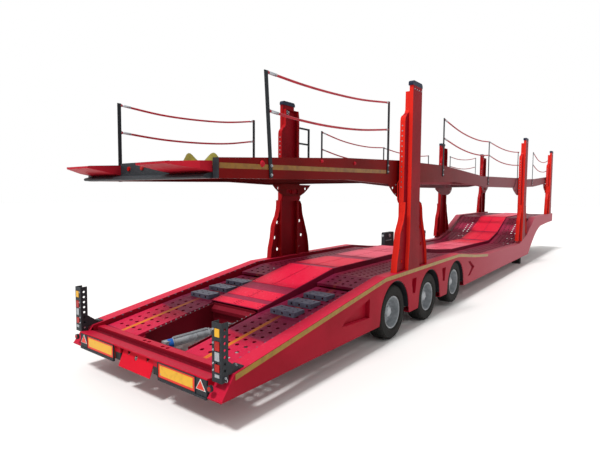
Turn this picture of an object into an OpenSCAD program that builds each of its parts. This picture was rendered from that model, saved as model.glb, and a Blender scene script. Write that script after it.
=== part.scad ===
// Two-deck car hauler semi-trailer, in millimetres.
// X runs forward, Y to the left and Z up from the ground. The tables give places along the trailer
// from the tail of its side frames, and placed() then centres the whole on the origin.

/* [Trailer] */
// Width over the side frames
trailer_w = 2550; // [2450:10:2600]
// Length of the side frames
trailer_l = 17180; // [17000:10:17400]
// Height of the side frames' lower edge
skirt_z = 300; // [280:5:330]
// How far the side frames reach inward
frame_depth = 175; // [165:5:185]
// Thickness of the side frames' skin
skin_t = 8; // [5:1:12]
// Thickness of the flanges of frames and posts
flange_t = 12; // [8:1:16]
// How far the deck lies below the side frames' top edge
deck_drop = 45; // [35:5:60]
// Height of the deck trays, flanges included
tray_h = 40; // [30:5:50]
// Thickness of the deck plates
plate_t = 6; // [4:1:8]

/* [Wheels] */
// Distance of the rear axle from the tail
axle_x = 3358; // [3300:10:3420]
// Spacing of the axles
axle_pitch = 1310; // [1300:5:1330]
// Outer radius of the tyres
tyre_r = 394; // [385:1:400]
// Width of the tyres
tyre_w = 245; // [235:5:255]
// Radius of the rims' outer lip
rim_r = 245; // [240:1:250]
// How far the tyres' outer faces lie inside the side frames' outer faces
tyre_inset = 32; // [28:1:60]
// How far the front axle is lifted
axle_lift = 50; // [0:5:60]
// Radius of the wheel arches
arch_r = 462; // [455:1:475]

/* [Decks] */
// Half width of the open strip between the wheel tracks
track_in = 420; // [380:10:450]
// Gap between the wheel tracks and the side frames
track_gap = 55; // [45:5:70]
// Diameter of the round holes in the wheel tracks
hole_d = 46; // [40:1:52]
// Spacing of the rows of holes
hole_pitch = 125; // [110:5:160]
// Depth of the recess that holds the step blocks
recess = 55; // [40:5:60]
// Gap between the upper platforms and the posts
platform_gap = 35; // [32:1:45]
// Width of the upper platforms' side beams
beam_w = 70; // [60:5:80]

/* [Posts] */
// Height of the posts' tops above the ground
post_z = 3700; // [3650:10:3750]
// Distance from the posts' inner faces to their outer faces
post_depth = 140; // [135:1:145]
// Width of the posts' guide channels along the trailer
guide_w = 520; // [500:10:540]
// Width of the posts' outer boxes along the trailer
column_w = 330; // [310:10:340]
// Diameter of the pins that carry the upper platforms
pin_d = 60; // [50:1:64]

/* [Rails] */
// Width of the guard rail stanchions
stanchion_w = 44; // [38:2:50]
// Height of the stanchions above the platforms' top edge
stanchion_h = 820; // [790:10:870]
// Diameter of the guard ropes
rope_d = 26; // [18:1:30]

/* [Hidden] */

half_w = trailer_w / 2;
inner_y = half_w - frame_depth;
platform_y = half_w - post_depth - platform_gap;
// Where the deck starts to rise into the neck
neck_x = trailer_l - 5640;
// Ends of the decks
deck_x = 300;
deck_end = trailer_l - 40;
// How far the trays end before each bend of the deck
tray_joint = 3;
// Heights of the inner rails' lower edges, away from the axles and over them
rail_z = 330;
arch_z = 560;
skid_z = 1080;
skid_t = 12;
neck_under = skid_z + skid_t;
// Running clearance between pieces that seat on each other
seat = 0.3;
$fn = 32;

// The side frames' top edge from tail to nose: distance from the tail, height
top_line = [[160, 510], [3050, 950], [6150, 970], [7190, 850], [8240, 760], [neck_x, 720],
    [neck_x + 960, 920], [neck_x + 2110, 1410], [trailer_l, 1440]];
// The side frames' lower edge ahead of the wheels
neck_line = [[neck_x + 1220, skirt_z], [neck_x + 1330, 360], [neck_x + 1470, 460],
    [neck_x + 1900, 695], [neck_x + 2400, 905], [neck_x + 2760, 1010], [neck_x + 3180, 1080],
    [neck_x + 4300, 1125], [trailer_l, 1150]];
// The lower edge of the inner rails, which arch over the axles and rise into the neck
rail_low = [[deck_x, rail_z], [2350, rail_z], [2850, arch_z], [6450, arch_z], [6950, rail_z],
    [neck_x + 1060, rail_z], [neck_x + 1460, 500], [neck_x + 2390, 950], [neck_x + 3160, neck_under],
    [deck_end, neck_under]];
// Ends of the well behind the centre panels
well_x0 = 380;
well_x1 = 1400;
// Where the recess of the step blocks ends
recess_x = 2600;
// The rear wheel tracks' line, which leaves the side frames' slope at the recess
recess_line = [[deck_x, lookup(deck_x, top_line)], [well_x1, lookup(well_x1, top_line)],
    [recess_x, lookup(recess_x, top_line) - recess]];
// The top of the spine that carries the centre panels
spine_line = [[well_x1, 690], [3050, 985], [6150, 1008], [7190, 885], [8240, 795], [neck_x, 755],
    [neck_x + 960, 940], [neck_x + 2110, 1385], [deck_end, 1410]];
// The upper platforms' top and bottom edges: distance from the tail, height
rear_end_x = 150;
rear_top = [[rear_end_x, 2392], [2340, 2536], [3780, 2600], [5700, 2630], [8200, 2530],
    [neck_x + 360, 2612]];
rear_low = [[rear_end_x, 2212], [2340, 2263], [3310, 2240], [4600, 2290], [6470, 2351],
    [8230, 2292], [neck_x + 360, 2325]];
front_top = [[neck_x + 570, 2580], [neck_x + 2560, 2645], [trailer_l - 30, 2838]];
front_low = [[neck_x + 570, 2350], [neck_x + 2560, 2400], [trailer_l - 30, 2610]];
// Centres of the posts along the trailer
post_x = [3950, neck_x + 430, trailer_l - 620];
// Pivot of each platform: distance from the tail, height
rear_pivot = [neck_x + 210, 2450];
front_pivot = [neck_x + 710, 2465];
// Height of the pins of the moving carriages
rear_pin_z = 2130;
front_pin_z = 2380;
// Stanchions: place, height over the usual one, lean of the top, 1 where it stands on the beam
right_rear_rails = [[830, 5, -80, 0], [3370, 0, 0, 0], [5600, 30, 0, 0], [8620, 0, 0, 0],
    [neck_x + 260, -55, 0, 1]];
left_rear_rails = [[550, -65, 0, 0], [2940, -90, 0, 0], [4910, -95, 0, 0], [7600, -110, 0, 0],
    [10510, -120, 0, 0]];
right_front_rails = [[neck_x + 2360, 70, 0, 0], [trailer_l - 230, -160, 0, 0]];
left_front_rails = [[neck_x + 800, -20, 0, 1], [trailer_l - 1940, 0, 0, 0]];
// Guard ropes of the right and left side: distance from the tail, height
right_rear_ropes = [
    [[775, 3247], [1300, 3238], [1900, 3252], [2600, 3296], [3348, 3384]],
    [[803, 2884], [1300, 2862], [1900, 2868], [2600, 2914], [3348, 3006]],
    [[5622, 3458], [6400, 3352], [7150, 3304], [7900, 3302], [8598, 3346]],
    [[5622, 3118], [6400, 3024], [7150, 2980], [7900, 2984], [8598, 3032]],
    [[8642, 3346], [9450, 3300], [10200, 3284], [11000, 3304], [11778, 3352]],
    [[8642, 3034], [9450, 2956], [10200, 2930], [11000, 2940], [11778, 2980]]];
left_rear_ropes = [
    [[572, 3152], [1150, 3118], [1750, 3132], [2350, 3180], [2918, 3268]],
    [[572, 2822], [1150, 2796], [1750, 2808], [2350, 2854], [2918, 2944]],
    [[4932, 3318], [5600, 3232], [6250, 3196], [6900, 3200], [7578, 3248]],
    [[4932, 2982], [5600, 2896], [6250, 2860], [6900, 2864], [7578, 2914]],
    [[7622, 3242], [8350, 3196], [9050, 3182], [9800, 3202], [10488, 3262]],
    [[7622, 2908], [8350, 2860], [9050, 2846], [9800, 2866], [10488, 2926]]];
right_front_ropes = [
    [[13922, 3508], [14700, 3340], [15400, 3296], [16150, 3334], [16928, 3466]],
    [[13922, 3116], [14700, 2986], [15400, 2952], [16150, 2986], [16928, 3100]]];
left_front_ropes = [
    [[12362, 3370], [13100, 3342], [13800, 3362], [14500, 3420], [15218, 3520]],
    [[12362, 3060], [13100, 3030], [13800, 3040], [14500, 3094], [15218, 3186]]];

x_tail = -220;
x_mid = (x_tail + trailer_l) / 2;
hub_z = tyre_r;

red = "#c3142d";
dark_red = "#7d1026";
grey = "#3b4046";
steel = "#8f9aa3";
black = "#1c1d1f";

function axle_at(i) = axle_x + i * axle_pitch;
function hub_at(i) = hub_z + (i == 2 ? axle_lift : 0);
function deck_z(x) = lookup(x, top_line) - deck_drop;
function reversed(list) = [for (i = [len(list) - 1 : -1 : 0]) list[i]];
// A band under a line, t thick, as a closed outline
function band(line, t) = concat(line, [for (p = reversed(line)) [p[0], p[1] - t]]);
// The part of a line between two distances, with its ends cut square
function clip_line(line, x0, x1) = concat([[x0, lookup(x0, line)]],
    [for (p = line) if (p[0] > x0 && p[0] < x1) p], [[x1, lookup(x1, line)]]);
function lowered(line, t) = [for (p = line) [p[0], p[1] - t]];

module placed() {
    translate([-x_mid, 0, 0]) children();
}

// An outline drawn in distance and height, carried across the trailer from y0 to y1
module across(y0, y1) {
    translate([0, y1, 0]) rotate([90, 0, 0]) linear_extrude(y1 - y0) children();
}

// A round bar between two points
module strut(from, to, d) {
    run = to - from;
    translate(from) rotate([0, acos(run[2] / norm(run)), atan2(run[1], run[0])])
        cylinder(d = d, h = norm(run));
}

module both_sides() {
    children();
    mirror([0, 1, 0]) children();
}

module block(x0, x1, y0, y1, z0, z1) {
    translate([x0, y0, z0]) cube([x1 - x0, y1 - y0, z1 - z0]);
}

// A round bar across the trailer
module cross_bar(x, z, d, y0, y1) {
    translate([x, y0, z]) rotate([-90, 0, 0]) cylinder(d = d, h = y1 - y0);
}

// Side frames

arch_flare = 40;
pocket_depth = 60;
pocket_wall = 4;
// Height of the side frames' inner webs
inner_web_h = 190;
rear_pocket = [[1920, 512], [2590, 478], [2590, 735], [1990, 580]];
post_pockets = [for (i = [0, 1]) let (x = axle_at(i) + axle_pitch / 2)
    [[x - 45, 560], [x + 45, 560], [x + 95, 800], [x - 95, 800]]];
arrow_pocket = [[6720, 450], [6960, 600], [6720, 750], [6860, 750], [7140, 600], [6860, 450]];

module arch_outline(x) {
    union() {
        translate([x, hub_z]) circle(r = arch_r, $fn = 96);
        polygon([[x - arch_r, hub_z], [x + arch_r, hub_z], [x + arch_r + arch_flare, skirt_z - 50],
            [x - arch_r - arch_flare, skirt_z - 50]]);
    }
}

module arches() {
    for (i = [0 : 2]) arch_outline(axle_at(i));
}

module skin_outline() {
    difference() {
        polygon(concat([[0, skirt_z]], top_line, reversed(neck_line)));
        arches();
        for (p = concat([rear_pocket], post_pockets, [arrow_pocket])) polygon(p);
    }
}

// A shallow pan behind a hole in the skin
module pocket(points) {
    across(half_w - pocket_depth, half_w - skin_t) difference() {
        grown(points, pocket_wall);
        polygon(points);
    }
    across(half_w - pocket_depth - pocket_wall, half_w - pocket_depth) grown(points, pocket_wall);
}

// An outline moved outward by w about its own centre
module grown(points, w) {
    centre = [for (k = [0, 1]) (max([for (p = points) p[k]]) + min([for (p = points) p[k]])) / 2];
    half = [for (k = [0, 1]) (max([for (p = points) p[k]]) - min([for (p = points) p[k]])) / 2];
    polygon([for (p = points) [for (k = [0, 1]) centre[k] + (p[k] - centre[k]) * (1 + w / half[k])]]);
}

module side_frame_plain() {
    color(red) {
        across(half_w - skin_t, half_w) skin_outline();
        across(inner_y, half_w - skin_t) polygon(band(top_line, flange_t));
        across(inner_y, inner_y + skin_t) difference() {
            polygon(band(lowered(top_line, flange_t), inner_web_h));
            arches();
        }
        across(inner_y, half_w - skin_t) difference() {
            polygon(band(lowered(concat([[0, skirt_z]], neck_line), -flange_t), flange_t));
            arches();
        }
        // Slanted tail and upright nose
        across(inner_y, half_w - skin_t)
            polygon([[0, skirt_z], top_line[0], top_line[0] + [flange_t, 0], [flange_t, skirt_z]]);
        block(trailer_l - flange_t, trailer_l, inner_y, half_w - skin_t, lookup(trailer_l, neck_line),
            lookup(trailer_l, top_line));
        for (p = concat([rear_pocket], post_pockets, [arrow_pocket])) pocket(p);
    }
}

module side_frame_left() {
    side_frame_plain();
}

module side_frame_right() {
    mirror([0, 1, 0]) side_frame_plain();
}

// Inner frame

rail_y = 380;
rail_w = 90;
cross_w = 70;
cross_h = 90;
cross_x = [well_x1, 2300, 2820, 3980, 5290, 6620, 7500, 8500, 9500, 10500, 11400, neck_x + 560,
    neck_x + 1025, neck_x + 2660, neck_x + 3560, neck_x + 4460, neck_x + 5360];

// The top of the rails, just below the wheel tracks, which lie lower in the recess
rail_top = lowered(concat(recess_line, clip_line(top_line, recess_x + tray_joint, deck_end)),
    deck_drop + tray_h + seat);
// Hangers of the trailing arms: distance ahead of the axle, thickness, depth below the hub
hanger = [440, 560];
hanger_t = 12;
hanger_h = 20;

function under_deck(x) = lookup(x, rail_top);

module chassis_frame() {
    color(dark_red) both_sides() {
        across(rail_y, rail_y + rail_w) polygon(concat(rail_top, reversed(rail_low)));
        for (i = [0 : 2], y = [rail_y, rail_y + rail_w - hanger_t])
            block(axle_at(i) + hanger[0], axle_at(i) + hanger[1], y, y + hanger_t,
                hub_at(i) - hanger_h, arch_z + 1);
    }
}

// A cross member from x to x1 whose top follows two heights
module cross_member(x, x1, y0, y1, z, z1) {
    across(y0, y1) polygon([[x, z], [x1, z1], [x1, z1 - cross_h], [x, z - cross_h]]);
}

module cross_members() {
    color(dark_red) {
        for (x = cross_x) {
            x1 = x + cross_w;
            cross_member(x, x1, seat - rail_y, rail_y - seat, under_deck(x), under_deck(x1));
            both_sides() cross_member(x, x1, rail_y + rail_w + seat, inner_y - seat, under_deck(x),
                under_deck(x1));
        }
        // End members behind the well
        block(deck_x + seat, well_x0, seat - rail_y, rail_y - seat, rail_z, under_deck(deck_x));
        both_sides() block(deck_x + seat, well_x0, rail_y + rail_w + seat, inner_y - seat, rail_z,
            under_deck(deck_x));
    }
}

// Rear end

// Heights of the crossbeam's lower edge, of the foot of its step and of its shelf's rear edge
crossbeam_z = 390;
beam_step = 440;
shelf_z = 474;
// Where the step is, and the thickness of the shelf's edge
beam_x = 215;
shelf_t = 14;
// The boards and the bar sit this far forward of the shelf's edge
board_t = 20;
// Recess for the plate holder: depth from the shelf's edge, half width, height
holder_x = 62;
holder_y = 290;
holder_top = 450;
// Drain holes in the crossbeam
drain_x = 255;
drain_d = 44;

module rear_crossbeam() {
    deck = deck_z(deck_x);
    color(red) difference() {
        across(-inner_y, inner_y) polygon([[board_t, crossbeam_z], [deck_x, crossbeam_z],
            [deck_x, deck], [beam_x, deck], [beam_x - plate_t, beam_step], [plate_t, shelf_z],
            [0, shelf_z - plate_t], [0, shelf_z - shelf_t], [board_t, shelf_z - shelf_t]]);
        block(board_t - 1, holder_x, -holder_y, holder_y, crossbeam_z - 1, holder_top);
        for (y = [-200, -120, 120, 200])
            translate([drain_x, y, crossbeam_z - 1]) cylinder(d = drain_d, h = deck - crossbeam_z + 2);
    }
}

// Marker boards: width, height, distance from the centre line, lower edge
board_w = 550;
board_h = 150;
board_y = 667;
board_z = 308;

module marker_boards() {
    both_sides() color("#e0301e")
        block(0, board_t - seat, board_y - board_w / 2, board_y + board_w / 2, board_z,
            board_z + board_h);
}

// The plate holder hangs from an upright plate in the crossbeam's recess and leans to the rear
holder_w = 550;
holder_h = 195;
holder_t = 8;
holder_lean = 21;
holder_z = holder_top - 4;
holder_foot = crossbeam_z + 5;
// Notches and hole in the holder's top: distance from the centre line, half width, depth
notch = [165, 36, 48];
lock_hole = [62, 27, 52];

module plate_panel() {
    color(red) {
        block(holder_x - seat - holder_t, holder_x - seat, 30 - holder_w / 2, holder_w / 2 - 30,
            holder_foot, holder_z);
        translate([holder_x - seat, 0, holder_z]) rotate([0, 90 + holder_lean, 0])
            translate([0, 0, -holder_t]) linear_extrude(holder_t) difference() {
                polygon([[0, 5 - holder_w / 2], [0, holder_w / 2 - 5], [holder_h, holder_w / 2],
                    [holder_h, -holder_w / 2]]);
                for (side = [-1, 1], y = side * notch[0])
                    polygon([[14, y - notch[1]], [14, y + notch[1]], [14 + notch[2], y]]);
                translate([lock_hole[0], lock_hole[1]]) circle(d = lock_hole[2]);
            }
    }
}

module underrun_bar() {
    color(black) both_sides()
        block(board_t, 60, holder_y, inner_y - 20, board_z + 2, crossbeam_z - seat);
}

// Deck trays

// A perforated tray on the deck line between two stations, from y0 to y1 on the left side
module tray(line, x0, x1, y0, y1, drop, pitch = hole_pitch) {
    z0 = lookup(x0, line) - drop;
    z1 = lookup(x1, line) - drop;
    run = norm([x1 - x0, z1 - z0]);
    rise = atan2(z1 - z0, x1 - x0);
    width = y1 - y0;
    rows = floor((width - 2 * pitch) / pitch);
    count = floor((run - pitch) / pitch);
    translate([x0, y0, z0]) rotate([0, -rise, 0]) translate([0, 0, -plate_t])
        linear_extrude(plate_t) difference() {
            square([run, width]);
            for (i = [0 : count], j = [0 : rows])
                translate([(run - count * pitch) / 2 + i * pitch,
                    (width - rows * pitch) / 2 + j * pitch]) circle(d = hole_d);
        }
    // Flanges that hang from the middle of the plate
    edge = lowered(clip_line(line, x0 + tray_joint, x1 - tray_joint), drop + plate_t / 2);
    for (y = [y0, y1 - plate_t])
        across(y, y + plate_t) polygon(band(edge, tray_h - plate_t / 2));
}

track_out = inner_y - track_gap;

// Wheel tracks on both sides between two distances
module track_run(line, x0, x1) {
    both_sides() tray(line, x0 + tray_joint, x1 - tray_joint, track_in, track_out, deck_drop);
}

// Wheel tracks from one bend of the deck to another, counted from the tail
module track_runs(first, last) {
    for (i = [first : last - 1])
        track_run(top_line, top_line[i][0], min(top_line[i + 1][0], deck_end));
}

module tracks_rear() {
    z = deck_z(recess_x);
    color(red) {
        track_run(recess_line, deck_x, well_x1);
        track_run(recess_line, well_x1, recess_x);
        track_run(top_line, recess_x, top_line[1][0]);
        // Riser at the end of the recess
        both_sides() block(recess_x + tray_joint, recess_x + tray_joint + plate_t, track_in, track_out,
            z - tray_h + plate_t, z - plate_t / 2);
    }
}

module tracks_axles() {
    color(dark_red) track_runs(1, 3);
}

module tracks_front() {
    color(dark_red) track_runs(3, len(top_line) - 1);
}

spine_y = track_in - 5;
// Where the spine's top bends
spine_x = [for (p = spine_line) p[0]];

// Raised box section between the wheel tracks
module centre_spine() {
    color(dark_red) for (i = [0 : len(spine_x) - 2]) {
        x0 = spine_x[i] + (i == 0 ? 0 : tray_joint);
        x1 = spine_x[i + 1] - tray_joint;
        line = clip_line(spine_line, x0, x1);
        under = lowered(clip_line(rail_top, x0, x1), -seat);
        across(-spine_y, spine_y) polygon(band(line, plate_t));
        both_sides() across(spine_y - flange_t, spine_y) polygon(concat(line, reversed(under)));
    }
}

// Ends of each pair of plates on the spine
panel_rows = [[well_x1 + 10, 1560], [1670, 1920], [2150, 3040], [3180, 4070], [4340, 5240],
    [5280, 6140], [6180, 7180], [7220, 8220], [8270, 9250], [9290, 10270], [10310, 11290],
    [neck_x + 30, neck_x + 930], [neck_x + 990, neck_x + 2080], [neck_x + 2140, neck_x + 3000],
    [neck_x + 3040, neck_x + 3900], [neck_x + 3940, neck_x + 4800], [neck_x + 4840, neck_x + 5560]];
panel_t = 4;
panel_seam = 12;

module centre_panels() {
    color("#d81e3c") both_sides() for (row = panel_rows)
        across(panel_seam / 2, spine_y - panel_seam)
            polygon(band(lowered(clip_line(spine_line, row[0], row[1]), -panel_t - seat), panel_t));
}

// Lower edge and wall thickness of the well, and the top of its front wall
well_z = 345;
well_t = 12;
well_top = 665;

module rear_well() {
    x0 = well_x0 + seat;
    x1 = well_x1 - seat;
    color(red) {
        both_sides() across(rail_y - well_t, rail_y - seat)
            polygon(concat([[x0, well_z]], lowered(clip_line(top_line, x0, x1), deck_drop),
                [[x1, well_z]]));
        block(x1 - well_t, x1, well_t - rail_y, rail_y - well_t, well_z, well_top);
        // Stepped nose below the first plates
        across(2 * well_t - rail_y, rail_y - 2 * well_t)
            polygon([[x1 - 60, 560], [x1 - 60, 600], [x1 - well_t, 640], [x1 - well_t, 560]]);
    }
}

// Step blocks: first place, spacing, length, height, and their inner and outer side
block_x = 1460;
block_pitch = 330;
block_l = 205;
block_h = 60;
block_y0 = 550;
block_y1 = 910;
block_t = 5;
block_hole = 30;
// The blocks' holes: distance from the sides, spacing
block_edge = 60;
block_step = (block_y1 - block_y0 - 2 * block_edge) / 2;

module step_blocks() {
    color(steel) both_sides() for (i = [0 : 2]) {
        x = block_x + i * block_pitch;
        z = lookup(x, recess_line) - deck_drop + seat;
        z1 = lookup(x + block_l, recess_line) - deck_drop + seat;
        top = z + block_h;
        difference() {
            across(block_y0, block_y1)
                polygon([[x, z], [x, top], [x + block_l, top], [x + block_l, z1]]);
            across(block_y0 + block_t, block_y1 - block_t)
                polygon([[x + block_t, z - 1], [x + block_t, top - block_t],
                    [x + block_l - block_t, top - block_t], [x + block_l - block_t, z1 - 1]]);
            for (y = [block_y0 + block_edge : block_step : block_y1 - block_edge]) {
                translate([x - 1, y, (z + top) / 2]) rotate([0, 90, 0])
                    cylinder(d = block_hole, h = block_t + 2);
                for (dx = [60, 145])
                    translate([x + dx, y, top - block_t - 1]) cylinder(d = block_hole, h = block_t + 2);
            }
        }
    }
}

// Corner posts: inner side, width, thickness, rear and front side, top, holes
corner_y = half_w - 145;
corner_w = 120;
corner_t = 6;
corner_x0 = 30;
corner_x1 = 110;
corner_z = 980;
corner_low = 455 + seat;
corner_hole = 26;
corner_foot_t = 10;
corner_gusset = [150, 130];

module corner_posts() {
    // The foot stands on the side frame's top flange
    sole = lowered(clip_line(top_line, top_line[0][0], deck_x), -seat);
    heel = [corner_x1 - corner_t, sole[0][1]];
    toe = heel[0] + corner_gusset[0];
    middle = corner_y + corner_w / 2;
    color(black) both_sides() {
        difference() {
            block(corner_x0, corner_x1, corner_y, corner_y + corner_w, corner_low, corner_z);
            block(corner_x0 + corner_t, corner_x1 + 1, corner_y + corner_t,
                corner_y + corner_w - corner_t, heel[1], corner_z + 1);
            for (z = [560 : 60 : 940]) {
                translate([corner_x0 - 1, middle, z]) rotate([0, 90, 0])
                    cylinder(d = corner_hole, h = corner_t + 2);
                cross_bar((corner_x0 + corner_x1) / 2, z, corner_hole, corner_y - 1,
                    corner_y + corner_w + 1);
            }
        }
        across(corner_y, corner_y + corner_w)
            polygon(band(lowered(concat([heel], sole), -corner_foot_t), corner_foot_t));
        for (y = [corner_y, corner_y + corner_w - corner_t]) across(y, y + corner_t)
            polygon([heel + [0, corner_gusset[1]], heel, sole[0], [toe, lookup(toe, sole)]]);
    }
}

// Tilt cylinder: rear eye, front of the barrel, front eye
cylinder_points = [[440, 40, 430], [880, -140, 490], [1060, -214, 515]];

barrel_d = 96;
rod_d = 46;
// Half width of the brackets that hold the cylinder
eye_half = 40;

module tilt_cylinder() {
    rear = cylinder_points[0];
    front = cylinder_points[2];
    color(steel) {
        block(well_x0 + seat, rear[0] + 30, rear[1] - eye_half, rear[1] + eye_half,
            rear[2] - 45, rear[2] + eye_half);
        strut(rear, cylinder_points[1], barrel_d);
        strut(rear, front, rod_d);
        block(front[0] - 20, front[0] + 60, front[1] - eye_half, front[1] + eye_half,
            front[2] - 45, front[2] + 45);
        block(front[0] + 50, well_x1 - well_t - 2 * seat, front[1] - eye_half / 2,
            front[1] + eye_half / 2, front[2] - 20, front[2] + 20);
    }
}

// Running gear

beam_d = 127;
hub_d = 200;
drum_d = 300;
wheel_y = half_w - tyre_inset - tyre_w / 2;

// A trailing arm seen from the side, about its axle
arm = [[-350, -80], [0, -80], [500, 20], [520, 60], [500, 100], [0, 75], [-110, -50], [-350, -50]];

module axle_set(i) {
    color(black) {
        cross_bar(axle_at(i), hub_at(i), beam_d, -wheel_y + 60, wheel_y - 60);
        both_sides() {
            cross_bar(axle_at(i), hub_at(i), hub_d, wheel_y - 62, wheel_y - 20);
            cross_bar(axle_at(i), hub_at(i), drum_d, wheel_y - 210, wheel_y - 60);
            across(rail_y + hanger_t + 2, rail_y + rail_w - hanger_t - 2)
                polygon([for (p = arm) [axle_at(i) + p[0], hub_at(i) + p[1]]]);
        }
    }
}

module axle_rear() { axle_set(0); }
module axle_middle() { axle_set(1); }
module axle_front() { axle_set(2); }

// Air springs: distance behind the axle, diameter, depth below the hub
spring_back = 230;
spring_d = 220;
spring_low = 50;

module air_springs() {
    color(black) both_sides() for (i = [0 : 2])
        translate([axle_at(i) - spring_back, rail_y + rail_w / 2, hub_at(i) - spring_low])
            cylinder(d = spring_d, h = arch_z - hub_at(i) + spring_low);
}

// Width and thickness of the mudguards
guard_w = 243;
guard_t = 10;

module mudguards() {
    y1 = half_w - skin_t - 2;
    color(black) both_sides() for (i = [0 : 2])
        across(y1 - guard_w, y1) difference() {
            translate([axle_at(i), hub_z]) circle(r = arch_r - seat, $fn = 96);
            translate([axle_at(i), hub_z]) circle(r = arch_r - guard_t, $fn = 96);
            translate([axle_at(i) - arch_r, hub_z - arch_r]) square([2 * arch_r, arch_r]);
        }
}

// Landing legs: place, half width of the lower and upper tube, start of the upper tube, start
// of the lower one
leg_x = neck_x + 1060;
leg_y = inner_y - 110;
leg_half = [45, 60];
leg_z = 420;
leg_foot = 30;
// A leg's shoe: half length at the ground and on top, width inside and outside the leg, heights
// of its side and top
shoe = [75, 45];
shoe_y = [130, 105];
shoe_z = [150, 230];
leg_top = under_deck(neck_x + 1025) - cross_h - seat;

module landing_legs() {
    color(black) both_sides() {
        block(leg_x - leg_half[0], leg_x + leg_half[0], leg_y - leg_half[0], leg_y + leg_half[0],
            leg_foot, leg_top);
        block(leg_x - leg_half[1], leg_x + leg_half[1], leg_y - leg_half[1], leg_y + leg_half[1],
            leg_z, leg_top);
        across(leg_y - shoe_y[0], leg_y + shoe_y[1]) translate([leg_x, 0])
            polygon([[-shoe[0], 0], [shoe[0], 0], [shoe[0], shoe_z[0]], [shoe[1], shoe_z[1]],
                [-shoe[1], shoe_z[1]], [-shoe[0], shoe_z[0]]]);
    }
}

// Coupling plate's rear end, its length and the kingpin's place on it
plate_x = neck_x + 3360;
plate_l = 2000;
kingpin_x = neck_x + 4060;
// Kingpin: collar, neck and root diameters, and how far it hangs below the plate
kingpin_d = [71.5, 50.8, 73];
kingpin_h = 84;

module kingpin_plate() {
    color(grey) {
        block(plate_x, plate_x + plate_l, -rail_y - rail_w, rail_y + rail_w, skid_z,
            skid_z + skid_t - seat);
        translate([kingpin_x, 0, skid_z - kingpin_h]) {
            cylinder(d = kingpin_d[0], h = 14);
            cylinder(d = kingpin_d[1], h = 60);
            translate([0, 0, 49]) cylinder(d = kingpin_d[2], h = kingpin_h - 48);
        }
    }
}

// Posts

// A post's gusset on its rear and front side: distance from the centre, height over the foot
rear_gusset = [[-520, 0], [-500, 180], [-450, 360], [-420, 570], [-375, 660], [-320, 750], [-280, 880],
    [-270, 1030]];
front_gusset = [[620, 0], [600, 180], [560, 360], [480, 570], [400, 770], [370, 950], [330, 1010],
    [260, 1040]];
// Lightening holes of the gusset: distance from the centre, height over the foot
gusset_holes = [[-300, 625], [-366, 350], [-287, 135], [366, 625], [423, 350], [336, 135]];
// Planes across the trailer: the guide channel's inner face, its web and the outer box
guide_y = half_w - post_depth;
web_y = half_w - 72;
column_y = half_w - 60;
column_shift = 30;
lip_w = 45;
// How far the gussets' end flanges reach inward and outward
gusset_lip = [50, 35];
gusset_hole = 60;
// The outer box, wider at its foot: distance from its centre, height over the foot
box_outline = [[-180, -60], [250, -60], [240, 60], [195, 460], [195, 4000], [-135, 4000],
    [-135, 460], [-170, 60]];

// How far a post's gussets may reach behind and ahead of its centre
post_reach = [530, 630];

// A guide channel's side outline, moved in by d; its rear flange is notched below the cap
function guide_outline(x, foot, d) = let (h = guide_w / 2) [[x - h + d, foot - 30],
    [x - h + d, post_z - 530 - d], [x - h + 10 + d, post_z - 485 - d],
    [x - h + 45 + d, post_z - 445 - d], [x - 150 + d, post_z - 400 - d],
    [x - 125 + d, post_z - 355 - d], [x - 120 + d, post_z - 80 - d],
    [x + h - 25 - d, post_z - 80 - d], [x + h - d, post_z - 220 - d], [x + h - d, foot - 30]];

// Everything above the side frame's top edge around a post
module above_frame(x) {
    x0 = x - post_reach[0];
    x1 = min(x + post_reach[1], trailer_l);
    polygon(concat(lowered(clip_line(top_line, x0, x1), -seat), [[x1, post_z], [x0, post_z]]));
}

// A gusset's end flange, which follows its edge
module gusset_flange(edge, x, foot, inward) {
    line = [for (p = edge) [x + p[0], foot + p[1]]];
    polygon(concat(line, reversed([for (p = line) [p[0] + inward * flange_t, p[1]]])));
}

module post(x, front = true) {
    foot = lookup(x, top_line);
    edges = front ? concat(rear_gusset, reversed(front_gusset))
        : concat(rear_gusset, [[260, 1040], [260, 0]]);
    color(red) {
        // Gusset plate with its lightening holes, on the channel's web
        across(web_y, column_y) difference() {
            intersection() {
                polygon([for (p = edges) [x + p[0], foot + p[1] + (p[1] == 0 ? -60 : 0)]]);
                above_frame(x);
            }
            for (p = gusset_holes) if (front || p[0] < 0)
                translate([x + p[0], foot + p[1]]) circle(d = gusset_hole);
        }
        across(web_y - gusset_lip[0], column_y + gusset_lip[1]) intersection() {
            union() {
                gusset_flange(rear_gusset, x, foot - 10, 1);
                if (front) gusset_flange(front_gusset, x, foot - 10, -1);
            }
            above_frame(x);
        }
        // Guide channel open to the inside, with lips
        difference() {
            across(guide_y, column_y) intersection() {
                polygon(guide_outline(x, foot, 0));
                above_frame(x);
            }
            across(guide_y + flange_t, web_y) polygon(guide_outline(x, foot - 60, flange_t));
            across(guide_y - 1, guide_y + flange_t + 1) polygon([[x - guide_w / 2 + lip_w, foot - 60],
                [x + guide_w / 2 - lip_w, foot - 60], [x + guide_w / 2 - lip_w, post_z],
                [x - guide_w / 2 + lip_w, post_z]]);
        }
        // Outer box, wider at its foot
        across(column_y, half_w) intersection() {
            polygon([for (p = box_outline)
                [x + column_shift + (p[0] - column_shift) * column_w / 330, foot + p[1]]]);
            above_frame(x);
        }
    }
}

module rear_posts() { both_sides() post(post_x[0]); }
module middle_posts() { both_sides() post(post_x[1]); }
module front_posts() { both_sides() post(post_x[2], front = false); }

cap_h = 70;
cap_r = 45;

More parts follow.
